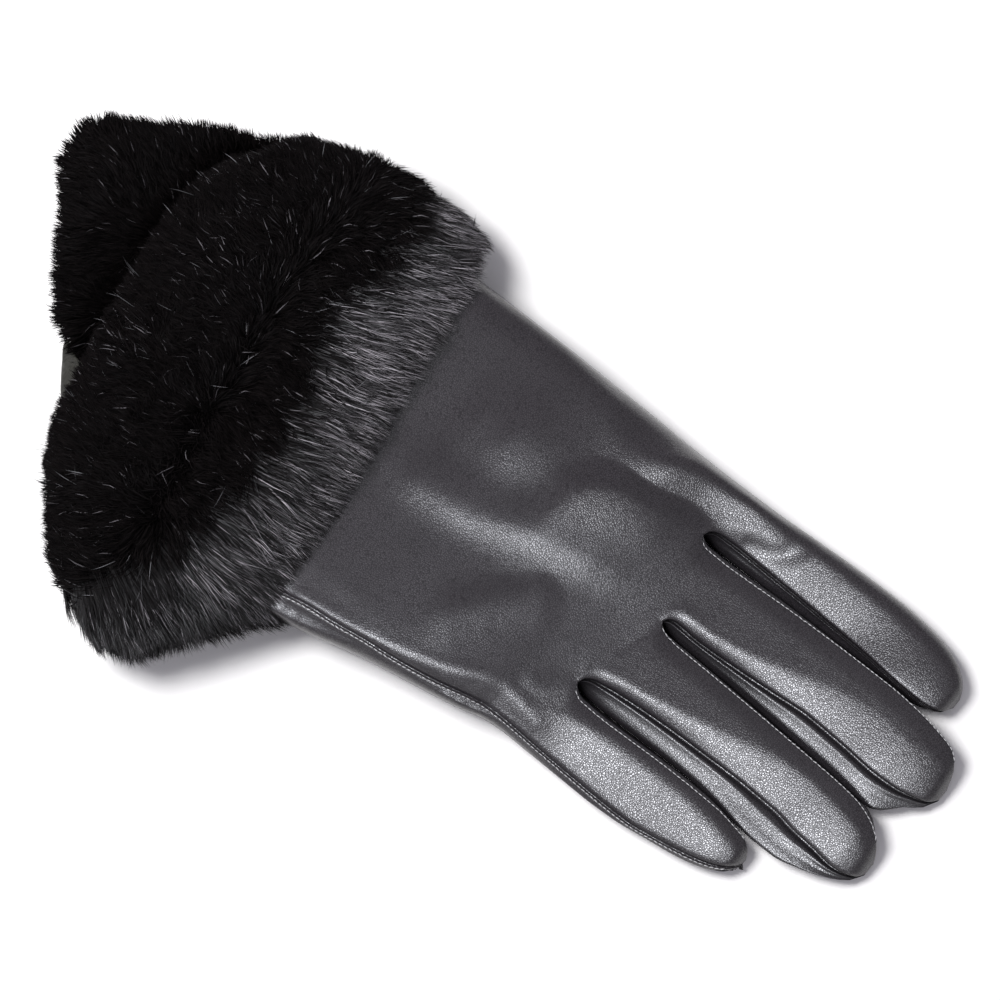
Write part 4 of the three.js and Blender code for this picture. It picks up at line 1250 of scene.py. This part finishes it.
# painted shade: the satin is silvery, but its colours are darkened because the lining lies in
# shadow in the notch of the mouth
shadedSatinLook = {
    **fibreLook, "dark": (0.012, 0.012, 0.010), "light": (0.050, 0.050, 0.044), "rough": 0.36,
    "specular": 0.5, "fibres": 700.0, "stretch": (1, 9, 1), "bump": 0.3, "depth": 0.00006,
}
lipTable = {
    "columns": ("y", "left", "right", "floor", "crown"),
    "rows": [
        (-113.6, 38.4, 40.6, 3.2, 4.8), (-110.6, 40.0, 44.4, 3.6, 5.4),
        (-107.5, 41.2, 48.6, 4.4, 7.0), (-103, 41.0, 53.5, 5.4, 7.6), (-96, 40.6, 58.0, 5.6, 7.2),
        (-88, 40.0, 60.0, 5.5, 6.8),
    ],
}


def lipPoints(u, v):
    # a flat folded tongue of satin with a soft wave across it
    form, power = liningSet, liningSet["lipRound"]
    y = mix(lipTable["rows"][0][0], lipTable["rows"][-1][0], v)
    left, right, floor, crown = [column(lipTable, name, y) for name in lipTable["columns"][1:]]
    angle = u * 2 * math.pi
    cap = roundEnd((form["lipCap"] - v) / form["lipCap"], 0.02)
    x = (left + right) / 2 + (right - left) / 2 * signedPower(np.cos(angle), power) * cap
    z = (floor + crown) / 2 + (crown - floor) / 2 * signedPower(np.sin(angle), power) * cap
    return place(x, y, z + form["wave"] * np.sin(x * 1.3 + y * 0.3))


def makeLining():
    form = liningSet
    sleeve = closedTube(form["around"], form["along"], lambda u, v: sleevePoints(
        u, v, lambda share: form["inner"] + 0 * share, form["outer"], form["start"], form["end"]))
    lip = closedTube(form["lipAround"], form["lipAlong"], lipPoints)
    bmesh.ops.holes_fill(lip, edges=[e for e in lip.edges if e.is_boundary], sides=0)
    piece = newMesh("liningSleeve", joined([sleeve, lip]))
    dress(piece, fibreMaterial("satinLiningInShade", shadedSatinLook), "satin_lining", "cuff_lining")


makeLining()
print("stage: the lining is in")

thumbForm = {"around": 48, "along": 70, "cap": 0.05, "sides": 0.75, "top": 0.55}


def thumbPoints(u, v):
    # the thumb's pouch, folded under the palm
    form, rows = thumbForm, thumbTable["rows"]
    y = mix(rows[0][0], rows[-1][0], v)
    x, half, height = [column(thumbTable, name, y) for name in thumbTable["columns"][1:]]
    near = np.minimum(y + 0.5, rows[-1][0])
    ahead = column(thumbTable, "x", near) - column(thumbTable, "x", near - 1.0)
    size = np.hypot(ahead, 1.0)
    cap = roundEnd((np.abs(v - 0.5) - 0.5 + form["cap"]) / form["cap"])
    angle = u * 2 * math.pi
    across = -half * signedPower(np.cos(angle), form["sides"]) * cap
    z = height / 2 + height / 2 * signedPower(np.sin(angle), form["top"]) * cap
    return place(x + across / size, y - across * ahead / size, z)


def makeThumb():
    piece = newMesh("thumbPouch", closedTube(thumbForm["around"], thumbForm["along"], thumbPoints))
    dress(piece, backLeather, "glove_leather", "thumb")


makeThumb()
print("stage: the thumb is tucked under")

# The raw edges' thickness and lift, the ends of the seams, and the size and pitch of a stitch
seamSet = {
    "edge": 0.17, "edgeLift": 0.06, "sideLift": 0.05, "sides": 7, "step": 0.7, "pitch": 1.45,
    "sideSeam": (-46, 106.5), "slotStart": 0.4, "slotNear": 6, "tipEnd": 3.0,
    "stitchLong": 1.24, "stitchThick": 0.225, "stitchSides": 6, "stitchLift": 0.10, "slant": 0.10,
}
edgeLook = {
    **fibreLook, "dark": (0.036, 0.036, 0.0378), "light": (0.075, 0.075, 0.07875),
    "rough": 0.5, "specular": 0.5, "bump": 0.5, "depth": 0.00006,
}
threadLook = {
    **fibreLook, "dark": (0.312, 0.312, 0.324), "light": (0.65, 0.65, 0.675),
    "rough": 0.55, "specular": 0.4, "fibres": 4200.0, "bump": 0.5, "depth": 0.00005,
}


def evenPath(points, step):
    # the same path with its points a set distance apart
    run = np.concatenate([[0], np.cumsum(np.linalg.norm(np.diff(points, axis=0), axis=1))])
    at = np.arange(0, run[-1], step)
    return np.stack([np.interp(at, run, points[:, i]) for i in range(3)], -1)


def seamPaths():
    form = seamSet
    paths = []
    for k in range(3):
        end = slots[k]["y"]
        y = np.concatenate([
            np.linspace(end + form["slotStart"], end + form["slotNear"], 24)[:-1],
            np.linspace(end + form["slotNear"], fingerTips[k + 1] - form["tipEnd"], 140)])
        x = fingerEdge(k + 1, "left", y)
        paths.append(np.stack([x - 0.05, y, topHeight(k + 1, x, y) + form["edgeLift"]], -1))
    y = np.linspace(*form["sideSeam"], 260)
    x = seamLine(y)
    paths.append(np.stack([x, y, topHeight(3, x, y) + form["sideLift"]], -1))
    return paths


def tubeAlong(points, thick, sides):
    def shape(u, v):
        last = len(points) - 1
        i = np.clip(np.rint(v * last).astype(int), 0, last)
        ahead = points[np.minimum(i + 1, last)] - points[np.maximum(i - 1, 0)]
        ahead /= np.linalg.norm(ahead, axis=-1)[:, None]
        aside = np.cross(ahead, [0, 0, 1.0])
        aside /= np.linalg.norm(aside, axis=-1)[:, None]
        rise = np.cross(aside, ahead)
        turn = (u * 2 * math.pi)[:, None]
        cap = np.where((i == 0) | (i == last), 0.02, 1)[:, None]
        spot = points[i] + (aside * np.cos(turn) + rise * np.sin(turn)) * thick * cap
        return place(spot[:, 0], spot[:, 1], spot[:, 2])
    return closedTube(sides, len(points) - 1, shape)


def stitchRow(points, rng):
    # one short rounded stitch after another, each a little off the line
    form = seamSet
    shrink = Matrix.Scale(0.001, 4)
    size = Matrix.Diagonal((form["stitchThick"], form["stitchThick"], form["stitchLong"], 1))
    parts = []
    for i, spot in enumerate(points[1:-1], 1):
        ahead = points[i + 1] - points[i - 1]
        ahead /= np.linalg.norm(ahead)
        bm = bmesh.new()
        bmesh.ops.create_cone(bm, cap_ends=True, segments=form["stitchSides"], radius1=0.6,
                              radius2=0.6, depth=1.0)
        uprights = [e for e in bm.edges if abs(e.verts[0].co.z - e.verts[1].co.z) > 0.5]
        bmesh.ops.subdivide_edges(bm, edges=uprights, cuts=2)
        for vert in bm.verts:
            full = math.sqrt(max(0.0, 1.15 - (2 * vert.co.z) ** 2))
            vert.co.x *= full
            vert.co.y *= full
        lean = Matrix.Rotation(rng.normal(0, form["slant"]), 4, "Y")
        turn = Vector(ahead).to_track_quat("Z", "Y").to_matrix().to_4x4() @ lean
        seat = place(spot[0], spot[1], spot[2] + form["stitchLift"])
        bmesh.ops.transform(bm, matrix=Matrix.Translation(seat.tolist()) @ shrink @ turn @ size,
                            verts=bm.verts)
        parts.append(bm)
    return parts


def makeSeams():
    form = seamSet
    rng = np.random.default_rng(9)
    edges, stitches = [], []
    for path in seamPaths():
        edges.append(tubeAlong(evenPath(path, form["step"]), form["edge"], form["sides"]))
        stitches.extend(stitchRow(evenPath(path, form["pitch"]), rng))
    rim = newMesh("rawEdges", joined(edges, 0.000001))
    dress(rim, fibreMaterial("edgeLeather", edgeLook), "glove_leather")
    thread = newMesh("seamStitches", joined(stitches, 0.000001))
    dress(thread, fibreMaterial("seamThread", threadLook), "glove_leather")


makeSeams()
print("stage: seams are stitched")
